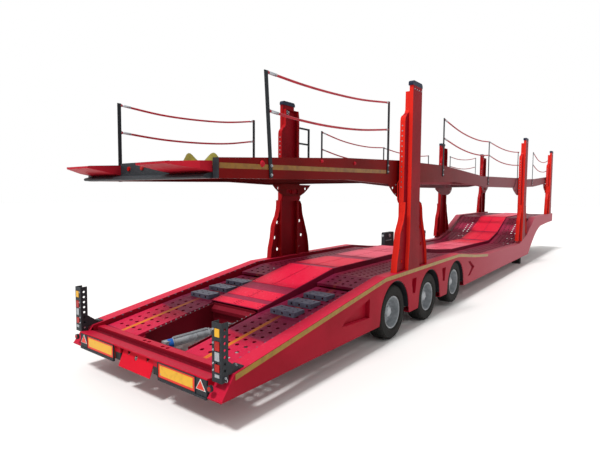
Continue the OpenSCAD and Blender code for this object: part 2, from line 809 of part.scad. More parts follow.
// A cap's outline about the post's top, with rounded upper corners
module cap_outline() {
    w = column_w / 2 + 15;
    intersection() {
        union() {
            polygon([[-w, 0], [w, 0], [w, cap_h - cap_r], [w - cap_r, cap_h], [cap_r - w, cap_h],
                [-w, cap_h - cap_r]]);
            for (side = [-1, 1]) translate([side * (w - cap_r), cap_h - cap_r]) circle(r = cap_r);
        }
        translate([-w, seat]) square([2 * w, cap_h]);
    }
}

module post_caps() {
    color(black) both_sides() for (x = post_x)
        across(web_y, half_w) translate([x + column_shift, post_z]) cap_outline();
}

// Outline of a middle bracket: distance from the post's centre, height
middle_bracket = [[-850, 2300], [-680, 2225], [-500, 2164], [-300, 2110], [300, 2110], [500, 2160],
    [620, 2230], [700, 2330], [480, 2560], [-420, 2560], [-600, 2360]];
bracket_y = platform_y + 8;
bracket_t = 12;

module middle_brackets() {
    window = guide_w / 2 - lip_w - 15;
    color(dark_red) both_sides() {
        across(bracket_y, bracket_y + bracket_t) difference() {
            polygon([for (p = middle_bracket) [post_x[1] + p[0], p[1]]]);
            for (dx = [-560, 540]) translate([post_x[1] + dx, 2250]) circle(d = 60);
        }
        // Seat of the bracket in the guide channel
        block(post_x[1] - window, post_x[1] + window, bracket_y + bracket_t, web_y - seat, 2150, 2540);
        for (p = [rear_pivot, front_pivot]) cross_bar(p[0], p[1], pin_d, platform_y - 60, bracket_y + 1);
    }
}

// Handhold: thickness, front end, heights of its three bars
handhold_d = 30;
handhold_x = post_x[0] + 720;
handhold_z = [2760, 3040, 3360];

module handhold() {
    x0 = post_x[0] + column_shift + column_w / 2 + seat;
    y1 = half_w - handhold_d / 2;
    color(black) difference() {
        block(x0, handhold_x, y1 - handhold_d, y1, handhold_z[0], handhold_z[2]);
        for (i = [0, 1]) block(x0 - 1, handhold_x - handhold_d, y1 - handhold_d - 1, y1 + 1,
            handhold_z[i] + handhold_d, handhold_z[i + 1] - i * handhold_d);
    }
}

// Control box: its ends along the trailer, top and rounding
box_x = [7875, 8385];
box_z = 1130;
box_r = 20;

module control_box() {
    color(black) across(half_w - 110, half_w - 10)
        polygon(concat(lowered(clip_line(top_line, box_x[0], box_x[1]), -seat),
            [[box_x[1], box_z - box_r], [box_x[1] - box_r, box_z], [box_x[0] + box_r, box_z],
            [box_x[0], box_z - box_r]]));
}

// Wheels

module tyre(i) {
    color(black) translate([axle_at(i), wheel_y, hub_at(i)]) rotate([-90, 0, 0])
        rotate_extrude($fn = 48) polygon([[rim_r - 12, -tyre_w / 2 + 18], [rim_r + 20, -tyre_w / 2],
            [tyre_r - 60, -tyre_w / 2], [tyre_r - 12, -tyre_w / 2 + 18], [tyre_r, -tyre_w / 2 + 45],
            [tyre_r, tyre_w / 2 - 45], [tyre_r - 12, tyre_w / 2 - 18], [tyre_r - 60, tyre_w / 2],
            [rim_r + 20, tyre_w / 2], [rim_r - 12, tyre_w / 2 - 18]]);
}

// Hand holes in the rim's disc: number, circle they lie on, diameter
hand_holes = 8;
hand_r = 172;
hand_d = 34;

module rim(i) {
    color(steel) translate([axle_at(i), wheel_y, hub_at(i)]) rotate([-90, 0, 0]) difference() {
        union() {
            rotate_extrude($fn = 48) polygon([[rim_r - 12, -tyre_w / 2 + 18], [rim_r - 12, tyre_w / 2 - 18],
                [rim_r - 30, tyre_w / 2 - 18], [rim_r - 30, -20], [130, 0], [130, -14], [rim_r - 30, -40],
                [rim_r - 30, -tyre_w / 2 + 18]]);
            translate([0, 0, -19]) cylinder(d = 262, h = 30);
        }
        for (k = [0 : hand_holes - 1]) rotate([0, 0, 360 * k / hand_holes])
            translate([hand_r, 0, -60]) cylinder(d = hand_d, h = 80);
    }
}

module tyre_rear_right() { mirror([0, 1, 0]) tyre(0); }
module tyre_rear_left() { tyre(0); }
module tyre_middle_right() { mirror([0, 1, 0]) tyre(1); }
module tyre_middle_left() { tyre(1); }
module tyre_front_right() { mirror([0, 1, 0]) tyre(2); }
module tyre_front_left() { tyre(2); }
module rim_rear_right() { mirror([0, 1, 0]) rim(0); }
module rim_rear_left() { rim(0); }
module rim_middle_right() { mirror([0, 1, 0]) rim(1); }
module rim_middle_left() { rim(1); }
module rim_front_right() { mirror([0, 1, 0]) rim(2); }
module rim_front_left() { rim(2); }

// Upper platforms

platform_drop = 70;
beam_t = 8;
// Width and height of the platforms' cross members
tie_w = 60;
tie_h = 70;

// Two channel beams open inward, whose webs are the outline given, and the cross members
module platform_frame(top, low, x0, x1, step) {
    low_up = [for (p = low) [p[0], p[1] + beam_t]];
    both_sides() {
        across(platform_y - beam_t, platform_y) children();
        across(platform_y - beam_w, platform_y - beam_t) polygon(band(top, beam_t));
        across(platform_y - beam_w, platform_y - beam_t) polygon(concat(low, reversed(low_up)));
    }
    for (x = [x0 : step : x1]) {
        x1 = x + tie_w;
        z = lookup(x, top) - platform_drop - tray_h - seat;
        z1 = lookup(x1, top) - platform_drop - tray_h - seat;
        across(-platform_y + beam_t, platform_y - beam_t)
            polygon([[x, z - tie_h], [x1, z - tie_h], [x1, z1], [x, z]]);
    }
}

slot_l = 260;
slot_h = 90;
// Bracket that hangs below a beam and holds the slot: distance from the post, height under the pin
bracket_side = [[-570, 0], [-480, 55], [-360, -25], [-230, -80]];

module slot_outline(x, z) {
    union() {
        translate([x - slot_l / 2, z - slot_h / 2]) square([slot_l, slot_h]);
        for (side = [-1, 1]) translate([x + side * slot_l / 2, z]) circle(d = slot_h);
    }
}

// Web of a side beam with its bracket, slot and pivot hole
module beam_web(top, low, x, z, pivot) {
    sides = [for (p = bracket_side) p[1] == 0 ? [p[0], lookup(x + p[0], low) + 20 - z] : p];
    far = min(x - bracket_side[0][0], top[len(top) - 1][0] - 10);
    difference() {
        union() {
            polygon(concat(top, reversed(low)));
            polygon([for (p = concat(sides, reversed([for (p = sides) [-p[0], p[1]]])))
                [min(x + p[0], far), z + p[1]]]);
        }
        slot_outline(x, z);
        for (side = [-1, 1]) translate([x + side * 395, z + 60]) circle(d = 50);
        translate(pivot) circle(d = pin_d + 2);
    }
}

module rear_platform_frame() {
    color(red) platform_frame(rear_top, rear_low, rear_end_x, neck_x - 40, 1135)
        beam_web(rear_top, rear_low, post_x[0], rear_pin_z, rear_pivot);
}

module front_platform_frame() {
    color(red) platform_frame(front_top, front_low, neck_x + 960, trailer_l - 180, 1100)
        beam_web(front_top, front_low, post_x[2], front_pin_z, front_pivot);
}

module platform_tracks(top, stations) {
    both_sides() for (i = [0 : len(stations) - 2])
        tray(top, stations[i] + (i == 0 ? 0 : tray_joint), stations[i + 1] - tray_joint,
            track_in, platform_y - beam_w - 10, platform_drop);
}

module rear_platform_tracks() {
    color(dark_red) platform_tracks(rear_top, [for (p = rear_top) p[0]]);
}

module front_platform_tracks() {
    color(dark_red) platform_tracks(front_top, [neck_x + 860, neck_x + 2560, trailer_l - 30]);
}

track_edge = platform_y - beam_w - 10;

// Cut corner of the loading flaps: length, width
flap_cut = [230, 170];

module rear_platform_flaps() {
    z = rear_top[0][1] - platform_drop;
    color(red) both_sides() intersection() {
        across(track_in, track_edge)
            polygon([[rear_end_x - seat, z + 45], [rear_end_x - seat, z - 55], [x_tail, z + 5],
                [x_tail, z + 25]]);
        translate([0, 0, z - 100]) linear_extrude(200) polygon([[x_tail - 1, track_in - 1],
            [rear_end_x, track_in - 1], [rear_end_x, track_edge + 1],
            [x_tail + flap_cut[0], track_edge + 1], [x_tail - 1, track_edge - flap_cut[1]]]);
    }
}

// Cross tube under the flaps, plate between them and the side beams' end plates
module rear_platform_end() {
    x = rear_end_x - seat;
    low = rear_low[0][1];
    top = rear_top[0][1];
    color(grey) {
        across(-track_edge, track_edge) polygon([[x, low], [x, low + 52], [x - 50, low + 44],
            [x - 95, low + 30], [x - 105, low + 12], [x - 90, low]]);
        block(x - beam_t, x, 5 - track_in, track_in - 5, low, top);
        both_sides() block(x - beam_t, x, platform_y - beam_w, platform_y, low, top);
    }
}

stanchion_t = 12;
// How far down the beams' outer faces the stanchions reach
stanchion_foot = 200;
rail_plane = platform_y + seat + stanchion_t / 2;

// Flat bars; the last column tells which stand on the beam's top instead of on its outer face
module stanchions(line, table) {
    color(grey) for (row = table) {
        on_top = row[3] == 1;
        y = on_top ? platform_y - stanchion_t - 10 : platform_y + seat;
        x0 = row[0] - stanchion_w / 2;
        x1 = row[0] + stanchion_w / 2;
        drop = on_top ? -seat : stanchion_foot;
        z1 = lookup(row[0], line) + stanchion_h + row[1];
        across(y, y + stanchion_t) polygon([[x0, lookup(x0, line) - drop],
            [x1, lookup(x1, line) - drop], [x1 + row[2], z1], [x0 + row[2], z1]]);
    }
}

module rear_platform_rails() {
    mirror([0, 1, 0]) stanchions(rear_top, right_rear_rails);
    stanchions(rear_top, left_rear_rails);
}

module front_platform_rails() {
    mirror([0, 1, 0]) stanchions(front_top, right_front_rails);
    stanchions(front_top, left_front_rails);
}

// One plain tube through a rope's points, which all lie in one upright plane
module rope(points, y) {
    sides = 8;
    n = len(points);
    ring = [for (i = [0 : n - 1]) let (a = points[max(i - 1, 0)], b = points[min(i + 1, n - 1)],
        d = i == 0 || i == n - 1 ? [1, 0] : (b - a) / norm(b - a))
        for (k = [0 : sides - 1]) let (a = 360 * k / sides, r = rope_d / 2)
            [points[i][0] - d[1] * r * cos(a), y + r * sin(a), points[i][1] + d[0] * r * cos(a)]];
    faces = concat([[for (k = [0 : sides - 1]) k]],
        [for (i = [0 : n - 2], k = [0 : sides - 1]) [i * sides + k, (i + 1) * sides + k,
            (i + 1) * sides + (k + 1) % sides, i * sides + (k + 1) % sides]],
        [[for (k = [sides - 1 : -1 : 0]) (n - 1) * sides + k]]);
    polyhedron(ring, faces);
}

module ropes(table) {
    color(red) for (points = table) rope(points, rail_plane);
}

module rear_platform_ropes() {
    mirror([0, 1, 0]) ropes(right_rear_ropes);
    ropes(left_rear_ropes);
}

module front_platform_ropes() {
    mirror([0, 1, 0]) ropes(right_front_ropes);
    ropes(left_front_ropes);
}

// Carriages: half height, wear pads that leave half a millimetre of running clearance, face plate
carriage_h = 165;
pad_t = 4.5;
pad_h = 50;
plate_y = platform_y + 12;
face_t = 12;
// Clearance between a carriage's body and the guide channel
run_gap = 5;
// A face plate's corners as shares of its half width and half height
face_corners = [[-1, -0.7], [-0.85, -1], [0.85, -1], [1, -0.7], [1, 0.7], [0.85, 1], [-0.85, 1],
    [-1, 0.7]];

// Carriages that slide in the posts' guide channels
module carriage(x, z) {
    w = guide_w / 2 - flange_t - run_gap;
    neck = guide_w / 2 - lip_w - 2 * run_gap;
    run_y = guide_y + flange_t + 3;
    color(dark_red) both_sides() {
        block(x - w, x + w, run_y, web_y - 6, z - carriage_h, z + carriage_h);
        block(x - neck, x + neck, plate_y + face_t / 2, run_y + 1, z - carriage_h, z + carriage_h);
        // Face plate that laps over the channel's lips
        across(plate_y, plate_y + face_t) polygon([for (p = face_corners)
            [x + p[0] * (guide_w / 2 + 10), z + p[1] * carriage_h]]);
        for (side = [-1, 1], up = [-130, 80], pad_x = x + side * (w + pad_t / 2))
            block(pad_x - pad_t / 2, pad_x + pad_t / 2, run_y + 6, web_y - 12, z + up, z + up + pad_h);
        cross_bar(x, z, pin_d, platform_y - 30, plate_y + 1);
    }
}

module rear_carriages() { carriage(post_x[0], rear_pin_z); }
module front_carriages() { carriage(post_x[2], front_pin_z); }

placed() side_frame_right();
placed() side_frame_left();
placed() chassis_frame();
placed() cross_members();
placed() rear_crossbeam();
placed() marker_boards();
placed() plate_panel();
placed() underrun_bar();
placed() tracks_rear();
placed() tracks_axles();
placed() tracks_front();
placed() centre_spine();
placed() centre_panels();
placed() rear_well();
placed() step_blocks();
placed() corner_posts();
placed() tilt_cylinder();
placed() axle_rear();
placed() axle_middle();
placed() axle_front();
placed() air_springs();
placed() mudguards();
placed() landing_legs();
placed() kingpin_plate();
placed() rear_posts();
placed() middle_posts();
placed() front_posts();
placed() post_caps();
placed() middle_brackets();
placed() handhold();
placed() control_box();
placed() tyre_rear_right();
placed() rim_rear_right();
placed() tyre_rear_left();
placed() rim_rear_left();
placed() tyre_middle_right();
placed() rim_middle_right();
placed() tyre_middle_left();
placed() rim_middle_left();
placed() tyre_front_right();
placed() rim_front_right();
placed() tyre_front_left();
placed() rim_front_left();
placed() rear_platform_frame();
placed() rear_platform_tracks();
placed() rear_platform_flaps();
placed() rear_platform_end();
placed() rear_platform_rails();
placed() rear_platform_ropes();
placed() rear_carriages();
placed() front_platform_frame();
placed() front_platform_tracks();
placed() front_platform_rails();
placed() front_platform_ropes();
placed() front_carriages();
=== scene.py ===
# Finish and small gear of a two-deck car hauler semi-trailer: metres, +X forward, +Y left, +Z up
import math

import bmesh
import bpy
from mathutils import Matrix, Quaternion, Vector


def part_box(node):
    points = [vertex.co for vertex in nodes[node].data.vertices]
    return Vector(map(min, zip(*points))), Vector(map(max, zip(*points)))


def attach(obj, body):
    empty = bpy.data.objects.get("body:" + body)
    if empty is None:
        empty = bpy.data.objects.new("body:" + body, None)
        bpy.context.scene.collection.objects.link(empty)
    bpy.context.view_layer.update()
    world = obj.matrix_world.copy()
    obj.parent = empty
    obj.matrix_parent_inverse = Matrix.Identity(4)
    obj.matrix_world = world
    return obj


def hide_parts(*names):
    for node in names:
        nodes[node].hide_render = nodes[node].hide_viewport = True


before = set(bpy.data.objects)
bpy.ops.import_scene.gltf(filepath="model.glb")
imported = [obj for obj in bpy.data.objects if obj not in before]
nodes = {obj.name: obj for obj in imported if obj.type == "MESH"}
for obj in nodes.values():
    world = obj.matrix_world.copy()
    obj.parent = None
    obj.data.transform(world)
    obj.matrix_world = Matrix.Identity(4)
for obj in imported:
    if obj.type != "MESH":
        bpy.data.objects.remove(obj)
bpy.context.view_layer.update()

# Frame of reference

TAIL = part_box("side_frame_right")[0].x
HALF_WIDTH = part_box("side_frame_left")[1].y
PLATFORM_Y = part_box("rear_platform_frame")[1].y
SIDES = {"right": -1, "left": 1}
# Centres of the posts, forward of the side frames' tail
POSTS = {"rear_posts": 3.95, "middle_posts": 11.97, "front_posts": 16.56}


def place(x, y, z):
    """A point given by its distance forward of the side frames' tail."""
    return Vector((TAIL + x, y, z))


def hit(node, start, direction):
    """Where a straight line from start first meets a CAD node, or None."""
    found, point, _, _ = nodes[node].ray_cast(Vector(start), Vector(direction).normalized())
    return point if found else None


ABOVE_ALL = 6.0


def top_at(node, x, y):
    """Height of a CAD node's upper surface, x forward of the tail."""
    point = hit(node, place(x, y, ABOVE_ALL), (0, 0, -1))
    return point.z if point else None


def islands(node):
    """Lowest and highest corner of each separate solid of a CAD node."""
    builder = bmesh.new()
    builder.from_mesh(nodes[node].data)
    bmesh.ops.remove_doubles(builder, verts=builder.verts, dist=1e-5)
    seen, boxes = set(), []
    for start in builder.verts:
        if start in seen:
            continue
        seen.add(start)
        queue, group = [start], []
        while queue:
            vert = queue.pop()
            group.append(vert.co.copy())
            for edge in vert.link_edges:
                other = edge.other_vert(vert)
                if other not in seen:
                    seen.add(other)
                    queue.append(other)
        boxes.append(tuple(Vector(pick(p[k] for p in group) for k in range(3))
            for pick in (min, max)))
    builder.free()
    return boxes


# Camera

PHOTO_WIDTH = 600
FOCAL_PIXELS = 449.1
SENSOR = 36.0
EYE = place(-2.534, -4.03, 2.068)
YAW = math.radians(37.29)
PITCH = math.radians(-3.79)
ROLL = math.radians(0.38)
VIEW_DEPTH = 200


def add_camera():
    """The view from behind the right rear corner, at head height."""
    data = bpy.data.cameras.new("camera")
    data.sensor_width = SENSOR
    data.lens = FOCAL_PIXELS / PHOTO_WIDTH * SENSOR
    data.clip_end = VIEW_DEPTH
    camera = bpy.data.objects.new("camera", data)
    ahead = Vector((math.cos(YAW) * math.cos(PITCH), math.sin(YAW) * math.cos(PITCH), math.sin(PITCH)))
    camera.location = EYE
    camera.rotation_mode = "QUATERNION"
    camera.rotation_quaternion = ahead.to_track_quat("-Z", "Y") @ Quaternion((0, 0, 1), ROLL)
    bpy.context.scene.collection.objects.link(camera)
    bpy.context.scene.camera = camera


add_camera()

# Building meshes


def link(name, data, body, material, slot=None, smooth=False):
    """Makes a mesh or curve into a piece that rides on a body."""
    piece = bpy.data.objects.new(name, data)
    bpy.context.scene.collection.objects.link(piece)
    data.materials.append(material)
    if smooth and isinstance(data, bpy.types.Mesh):
        data.polygons.foreach_set("use_smooth", [True] * len(data.polygons))
    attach(piece, body)
    return piece


def finish_mesh(name, builder):
    """Turns a bmesh into mesh data with its faces pointing outward."""
    bmesh.ops.recalc_face_normals(builder, faces=builder.faces)
    data = bpy.data.meshes.new(name)
    builder.to_mesh(data)
    builder.free()
    return data


def add_rod(builder, start, end, radius, sides=16, end_radius=None):
    """A round rod between two points, tapered if it has an end_radius."""
    start, end = Vector(start), Vector(end)
    run = end - start
    turn = run.normalized().to_track_quat("Z", "Y").to_matrix().to_4x4()
    bmesh.ops.create_cone(builder, cap_ends=True, segments=sides, radius1=radius,
        radius2=radius if end_radius is None else end_radius, depth=run.length,
        matrix=Matrix.Translation((start + end) / 2) @ turn)


def add_box(builder, low, high, bevel=0.0):
    """A block between two corners, with its edges eased."""
    corners = [Vector(min(pair) for pair in zip(low, high)), Vector(max(pair) for pair in zip(low, high))]
    matrix = Matrix.Translation((corners[0] + corners[1]) / 2) @ Matrix.Diagonal(
        (*(corners[1] - corners[0]), 1))
    made = bmesh.ops.create_cube(builder, size=1, matrix=matrix)
    if bevel:
        edges = {edge for vert in made["verts"] for edge in vert.link_edges}
        bmesh.ops.bevel(builder, geom=list(edges), offset=bevel, segments=2, affect="EDGES")


# Small gear starts this far inside what carries it
SEAT = 0.001
WASHER_T = 0.003
WASHER_SHARE = 0.72
HEAD_TAPER = 0.94


def add_bolt(builder, point, normal, width=0.024, height=0.014):
    """A hexagon head on its washer."""
    point, normal = Vector(point), Vector(normal).normalized()
    add_rod(builder, point - normal * SEAT, point + normal * WASHER_T, width * WASHER_SHARE, 16)
    add_rod(builder, point + normal * WASHER_T, point + normal * (WASHER_T + height), width / 2, 6,
        width / 2 * HEAD_TAPER)


def add_ring(builder, centre, axis, radius, thickness, sides=24, ring_sides=8):
    """A round ring about an axis."""
    turn = Vector(axis).normalized().to_track_quat("Z", "Y")
    rows = []
    for i in range(sides):
        angle = 2 * math.pi * i / sides
        out = Vector((math.cos(angle), math.sin(angle), 0))
        rows.append([builder.verts.new(Vector(centre) + turn @ (out * (radius + thickness * math.cos(b))
            + Vector((0, 0, thickness * math.sin(b)))))
            for b in (2 * math.pi * k / ring_sides for k in range(ring_sides))])
    for i in range(sides):
        a, b = rows[i], rows[(i + 1) % sides]
        for k in range(ring_sides):
            m = (k + 1) % ring_sides
            builder.faces.new((a[k], b[k], b[m], a[m]))


def add_slab(builder, outline, normal, thickness):
    """A flat plate with the given corners, thickened along its normal."""
    shift = Vector(normal).normalized() * thickness
    low = [builder.verts.new(Vector(p)) for p in outline]
    high = [builder.verts.new(Vector(p) + shift) for p in outline]
    builder.faces.new(low)
    builder.faces.new(high)
    for k in range(len(low)):
        m = (k + 1) % len(low)
        builder.faces.new((low[k], low[m], high[m], high[k]))


def add_strip(builder, rows):
    """A sheet through rows of points, every row with as many."""
    verts = [[builder.verts.new(point) for point in row] for row in rows]
    for a, b in zip(verts, verts[1:]):
        for k in range(len(a) - 1):
            builder.faces.new((a[k], a[k + 1], b[k + 1], b[k]))


# Nodes of materials


def linear(code):
    """Linear colour of an sRGB hex value."""
    parts = [int(code[k:k + 2], 16) / 255 for k in (1, 3, 5)]
    return (*(p / 12.92 if p <= 0.04045 else ((p + 0.055) / 1.055) ** 2.4 for p in parts), 1.0)


def add(tree, kind, values=None, links=None, **settings):
    """Adds a node with its settings, the values of its sockets and what is linked to them."""
    node = tree.nodes.new("ShaderNode" + kind)
    for name, value in settings.items():
        setattr(node, name, value)
    for key, value in (values or {}).items():
        node.inputs[key].default_value = value
    for key, socket in (links or {}).items():
        tree.links.new(socket, node.inputs[key])
    return node


def new_material(name):
    """An empty material with its shader and coordinates that move with the piece."""
    material = bpy.data.materials.new(name)
    material.use_nodes = True
    tree = material.node_tree
    tree.nodes.clear()
    shader = add(tree, "BsdfPrincipled")
    add(tree, "OutputMaterial", links={"Surface": shader.outputs[0]})
    where = add(tree, "TexCoord").outputs["Object"]
    return material, tree, shader, where


def ramp(tree, source, low, high):
    """Stretches a factor so that low gives 0 and high gives 1."""
    return add(tree, "MapRange", {"From Min": low, "From Max": high}, {"Value": source}).outputs[0]


def mixed(tree, first, second, factor):
    """One colour over another; each is a hex value or a socket."""
    node = add(tree, "Mix", links={0: factor}, data_type="RGBA")
    for index, side in ((6, first), (7, second)):
        if isinstance(side, str):
            node.inputs[index].default_value = linear(side)
        else:
            tree.links.new(side, node.inputs[index])
    return node.outputs[2]


def product(tree, first, second):
    """One factor times another, each a socket or a number."""
    node = add(tree, "Math", operation="MULTIPLY")
    for index, side in enumerate((first, second)):
        if isinstance(side, (int, float)):
            node.inputs[index].default_value = side
        else:
            tree.links.new(side, node.inputs[index])
    return node.outputs[0]


def stretch(tree, where, low, high, slant=0.0, feather=0.02):
    """1 between two distances from the tail, 0 elsewhere; slant moves the ends with Y."""
    axes = add(tree, "SeparateXYZ", links={0: where}).outputs
    along = add(tree, "Math", {1: slant}, {0: axes["Y"], 2: axes["X"]}, operation="MULTIPLY_ADD").outputs[0]
    start = ramp(tree, along, TAIL + low - feather, TAIL + low + feather)
    stop = ramp(tree, along, TAIL + high + feather, TAIL + high - feather)
    return product(tree, start, stop)


def lane(tree, where, centre, half):
    """1 in the two lengthwise bands at that distance from the centre line, 0 elsewhere."""
    y = add(tree, "SeparateXYZ", links={0: where}).outputs["Y"]
    away = add(tree, "Math", links={0: y}, operation="ABSOLUTE").outputs[0]
    return add(tree, "Math", {1: centre, 2: half}, {0: away}, operation="COMPARE").outputs[0]


def painted_steel(name, colour, shade, painted_top_light, dust=0.3, gloss=0.34, grit=0.0, zones=(), painted_rear_light=None):
    """Two-pack enamel sprayed on shot-blasted plate: a fine orange peel, clouded colour,
    with painted light that makes what faces up lighter, with scuffs and road dust.
    A zone is a colour and a function of the tree and coordinates that says where it lies.
    The colour for what faces the tail is painted sunlight, mostly on the right-hand side."""
    material, tree, shader, where = new_material(name)
    cloud = add(tree, "TexNoise", {"Scale": 1.7, "Detail": 5, "Roughness": 0.6}, {"Vector": where})
    tint = mixed(tree, colour, shade, ramp(tree, cloud.outputs["Fac"], 0.35, 0.7))
    facing = add(tree, "SeparateXYZ", links={0: add(tree, "NewGeometry").outputs["Normal"]}).outputs
    above = ramp(tree, facing["Z"], 0.35, 0.95)
    # Painted light: what faces up is drawn in a lighter colour
    tint = mixed(tree, tint, painted_top_light, above)
    # Painted sunlight on the faces that look to the tail, strongest on the right-hand side
    if painted_rear_light:
        right = add(tree, "MapRange", {"From Min": 0.5, "From Max": -0.5, "To Min": 0.25},
            {"Value": add(tree, "SeparateXYZ", links={0: where}).outputs["Y"]})
        tint = mixed(tree, tint, painted_rear_light, product(tree, right.outputs[0], ramp(tree, facing["X"], -0.5, -0.8)))
    streak = add(tree, "TexNoise", {"Scale": 22, "Detail": 8, "Roughness": 0.72}, {"Vector": where})
    for zone_colour, zone in zones:
        # Noise that frays each zone's edge: wear on the guide line, a broken edge on the painted light and
        # shade
        ragged_edge = ramp(tree, streak.outputs["Fac"], 0.3, 0.42)
        tint = mixed(tree, tint, zone_colour, product(tree, zone(tree, where), ragged_edge))
    # Scuffs and dust of some 40 mm, mostly on what is walked and driven on
    scuff = ramp(tree, streak.outputs["Fac"], 0.56, 0.8)
    settled = product(tree, scuff, add(tree, "MapRange", {"To Min": 0.05 * dust, "To Max": dust},
        {"Value": above}).outputs[0])
    tint = mixed(tree, tint, "#c58f98", settled)
    tree.links.new(tint, shader.inputs["Base Color"])
    rough = add(tree, "MapRange", {"To Min": gloss, "To Max": gloss + 0.22},
        {"Value": streak.outputs["Fac"]})
    tree.links.new(rough.outputs[0], shader.inputs["Roughness"])
    # Orange peel of 4 mm, drawn as coarse as it shows
    peel = add(tree, "TexNoise", {"Scale": 260, "Detail": 2}, {"Vector": where})
    bump = add(tree, "Bump", {"Strength": 0.08, "Distance": 0.001}, {"Height": peel.outputs["Fac"]})
    if grit:
        # Sand in the walkway paint, grains of about 3 mm
        sand = add(tree, "TexVoronoi", {"Scale": 320}, {"Vector": where})
        bump = add(tree, "Bump", {"Strength": grit, "Distance": 0.0015},
            {"Height": sand.outputs["Distance"], "Normal": bump.outputs[0]})
    tree.links.new(bump.outputs[0], shader.inputs["Normal"])
    shader.inputs["IOR"].default_value = 1.5
    shader.inputs["Specular IOR Level"].default_value = 0.05
    return material


def plain_finish(name, colour, shade, roughness, metallic=0.0, scale=30.0, bump_mm=0.2, ior=1.5):
    """A cloudy colour with an uneven surface: rubber, plastic, zinc or cast metal."""
    material, tree, shader, where = new_material(name)
    cloud = add(tree, "TexNoise", {"Scale": scale, "Detail": 6, "Roughness": 0.65}, {"Vector": where})
    tint = mixed(tree, colour, shade, ramp(tree, cloud.outputs["Fac"], 0.3, 0.7))
    tree.links.new(tint, shader.inputs["Base Color"])
    rough = add(tree, "MapRange", {"To Min": roughness - 0.08, "To Max": roughness + 0.12},
        {"Value": cloud.outputs["Fac"]})
    tree.links.new(rough.outputs[0], shader.inputs["Roughness"])
    fine = add(tree, "TexNoise", {"Scale": scale * 12, "Detail": 3}, {"Vector": where})
    bump = add(tree, "Bump", {"Strength": 0.4, "Distance": bump_mm / 1000},
        {"Height": fine.outputs["Fac"]})
    tree.links.new(bump.outputs[0], shader.inputs["Normal"])
    shader.inputs["Metallic"].default_value = metallic
    if not metallic:
        shader.inputs["IOR"].default_value = ior
        shader.inputs["Specular IOR Level"].default_value = 0.2
    return material


def reflective_tape(name, colour, dirt="#6e5a3a", wear=(0.5, 0.85), cell_mm=4.0):
    """Prismatic sheeting: a honeycomb of cells under a clear film, dulled by road dirt."""
    material, tree, shader, where = new_material(name)
    cells = add(tree, "TexVoronoi", {"Scale": 1000 / cell_mm, "Randomness": 0.1}, {"Vector": where},
        feature="DISTANCE_TO_EDGE")
    edge = ramp(tree, cells.outputs["Distance"], 0.0, 0.12)
    mottle = add(tree, "TexNoise", {"Scale": 14, "Detail": 5}, {"Vector": where})
    tint = mixed(tree, colour, dirt, ramp(tree, mottle.outputs["Fac"], *wear))
    tree.links.new(tint, shader.inputs["Base Color"])
    bump = add(tree, "Bump", {"Strength": 0.25, "Distance": 0.0005}, {"Height": edge})
    tree.links.new(bump.outputs[0], shader.inputs["Normal"])
    shader.inputs["Roughness"].default_value = 0.35
    shader.inputs["Specular IOR Level"].default_value = 0.35
    return material


def woven(name, colour, shade, pitch_mm, roughness=0.75):
    """Braided or woven polyester: diagonal strands, a soft sheen and faded patches."""
    material, tree, shader, where = new_material(name)
    cloud = add(tree, "TexNoise", {"Scale": 9, "Detail": 4}, {"Vector": where})
    strands = [add(tree, "TexWave", {"Scale": 1000 / pitch_mm / 6.3, "Distortion": 0.4},
        {"Vector": where}, bands_direction=axis).outputs["Fac"] for axis in ("DIAGONAL", "X")]
    weave = product(tree, *strands)
    tint = mixed(tree, colour, shade, ramp(tree, cloud.outputs["Fac"], 0.35, 0.7))
    tint = mixed(tree, tint, shade, product(tree, weave, 0.5))
    tree.links.new(tint, shader.inputs["Base Color"])
    bump = add(tree, "Bump", {"Strength": 0.5, "Distance": 0.001}, {"Height": weave})
    tree.links.new(bump.outputs[0], shader.inputs["Normal"])
    shader.inputs["Roughness"].default_value = roughness
    shader.inputs["Sheen Weight"].default_value = 0.2
    shader.inputs["Specular IOR Level"].default_value = 0.2
    return material


# Y of the guide lines
GUIDE_Y = 0.72


def between(low, high, line_half=None, **shape):
    """A zone between two distances from the tail, narrowed to the guide lines by line_half."""
    def zone(tree, where):
        inside = stretch(tree, where, low, high, **shape)
        return product(tree, inside, lane(tree, where, GUIDE_Y, line_half)) if line_half else inside
    return zone


# Painted sunlight on the first metre of the wheel tracks, up to the slanting edge of the upper platform's
# shadow
sunlit_track_ends = between(0.2, 0.95, slant=-0.12)
# The orange line that guides the wheels on to the tracks, and its worn end
guide_stripe = between(0.25, 1.35, 0.026, feather=0.12)
guide_trace = between(1.2, 2.6, 0.022, feather=0.3)
# The plates from behind the crest to 4.2 m, a stronger red than those ahead of them
rear_plates = between(1.2, 4.2, feather=0.01)
# Painted shade at the foot of the rear crossbeam's step
step_shade = between(0.15, 0.2145, feather=0.002)
# Painted shadow in the recess behind the number plate's holder
holder_recess_shadow = between(0.0525, 0.1, feather=0.0005)
# Painted sunlight on the plates of the slope up to the neck
neck_plates = between(10.2, 14.6, feather=0.5)


def dust_and_sheen_front(tree, where):
    """The side frames and beams ahead of the axles, paler towards the front with road dust and a painted
    sheen.
    """
    return ramp(tree, add(tree, "SeparateXYZ", links={0: where}).outputs["X"], TAIL + 4.6, TAIL + 9.5)


# The side frames' paler front is road dust and a painted sheen
side_red = painted_steel("side_frame_enamel", "#a3142a", "#900f22", "#cb2241", dust=0.4,
    zones=[("#aa4a58", dust_and_sheen_front)])
# The posts' dark crimson is the red enamel darkened with painted shade; their faces toward the tail get
# painted sunlight
post_red = painted_steel("post_enamel_with_painted_light", "#8a0818", "#740614", "#a80f1c", dust=0.2, painted_rear_light="#da2a20")
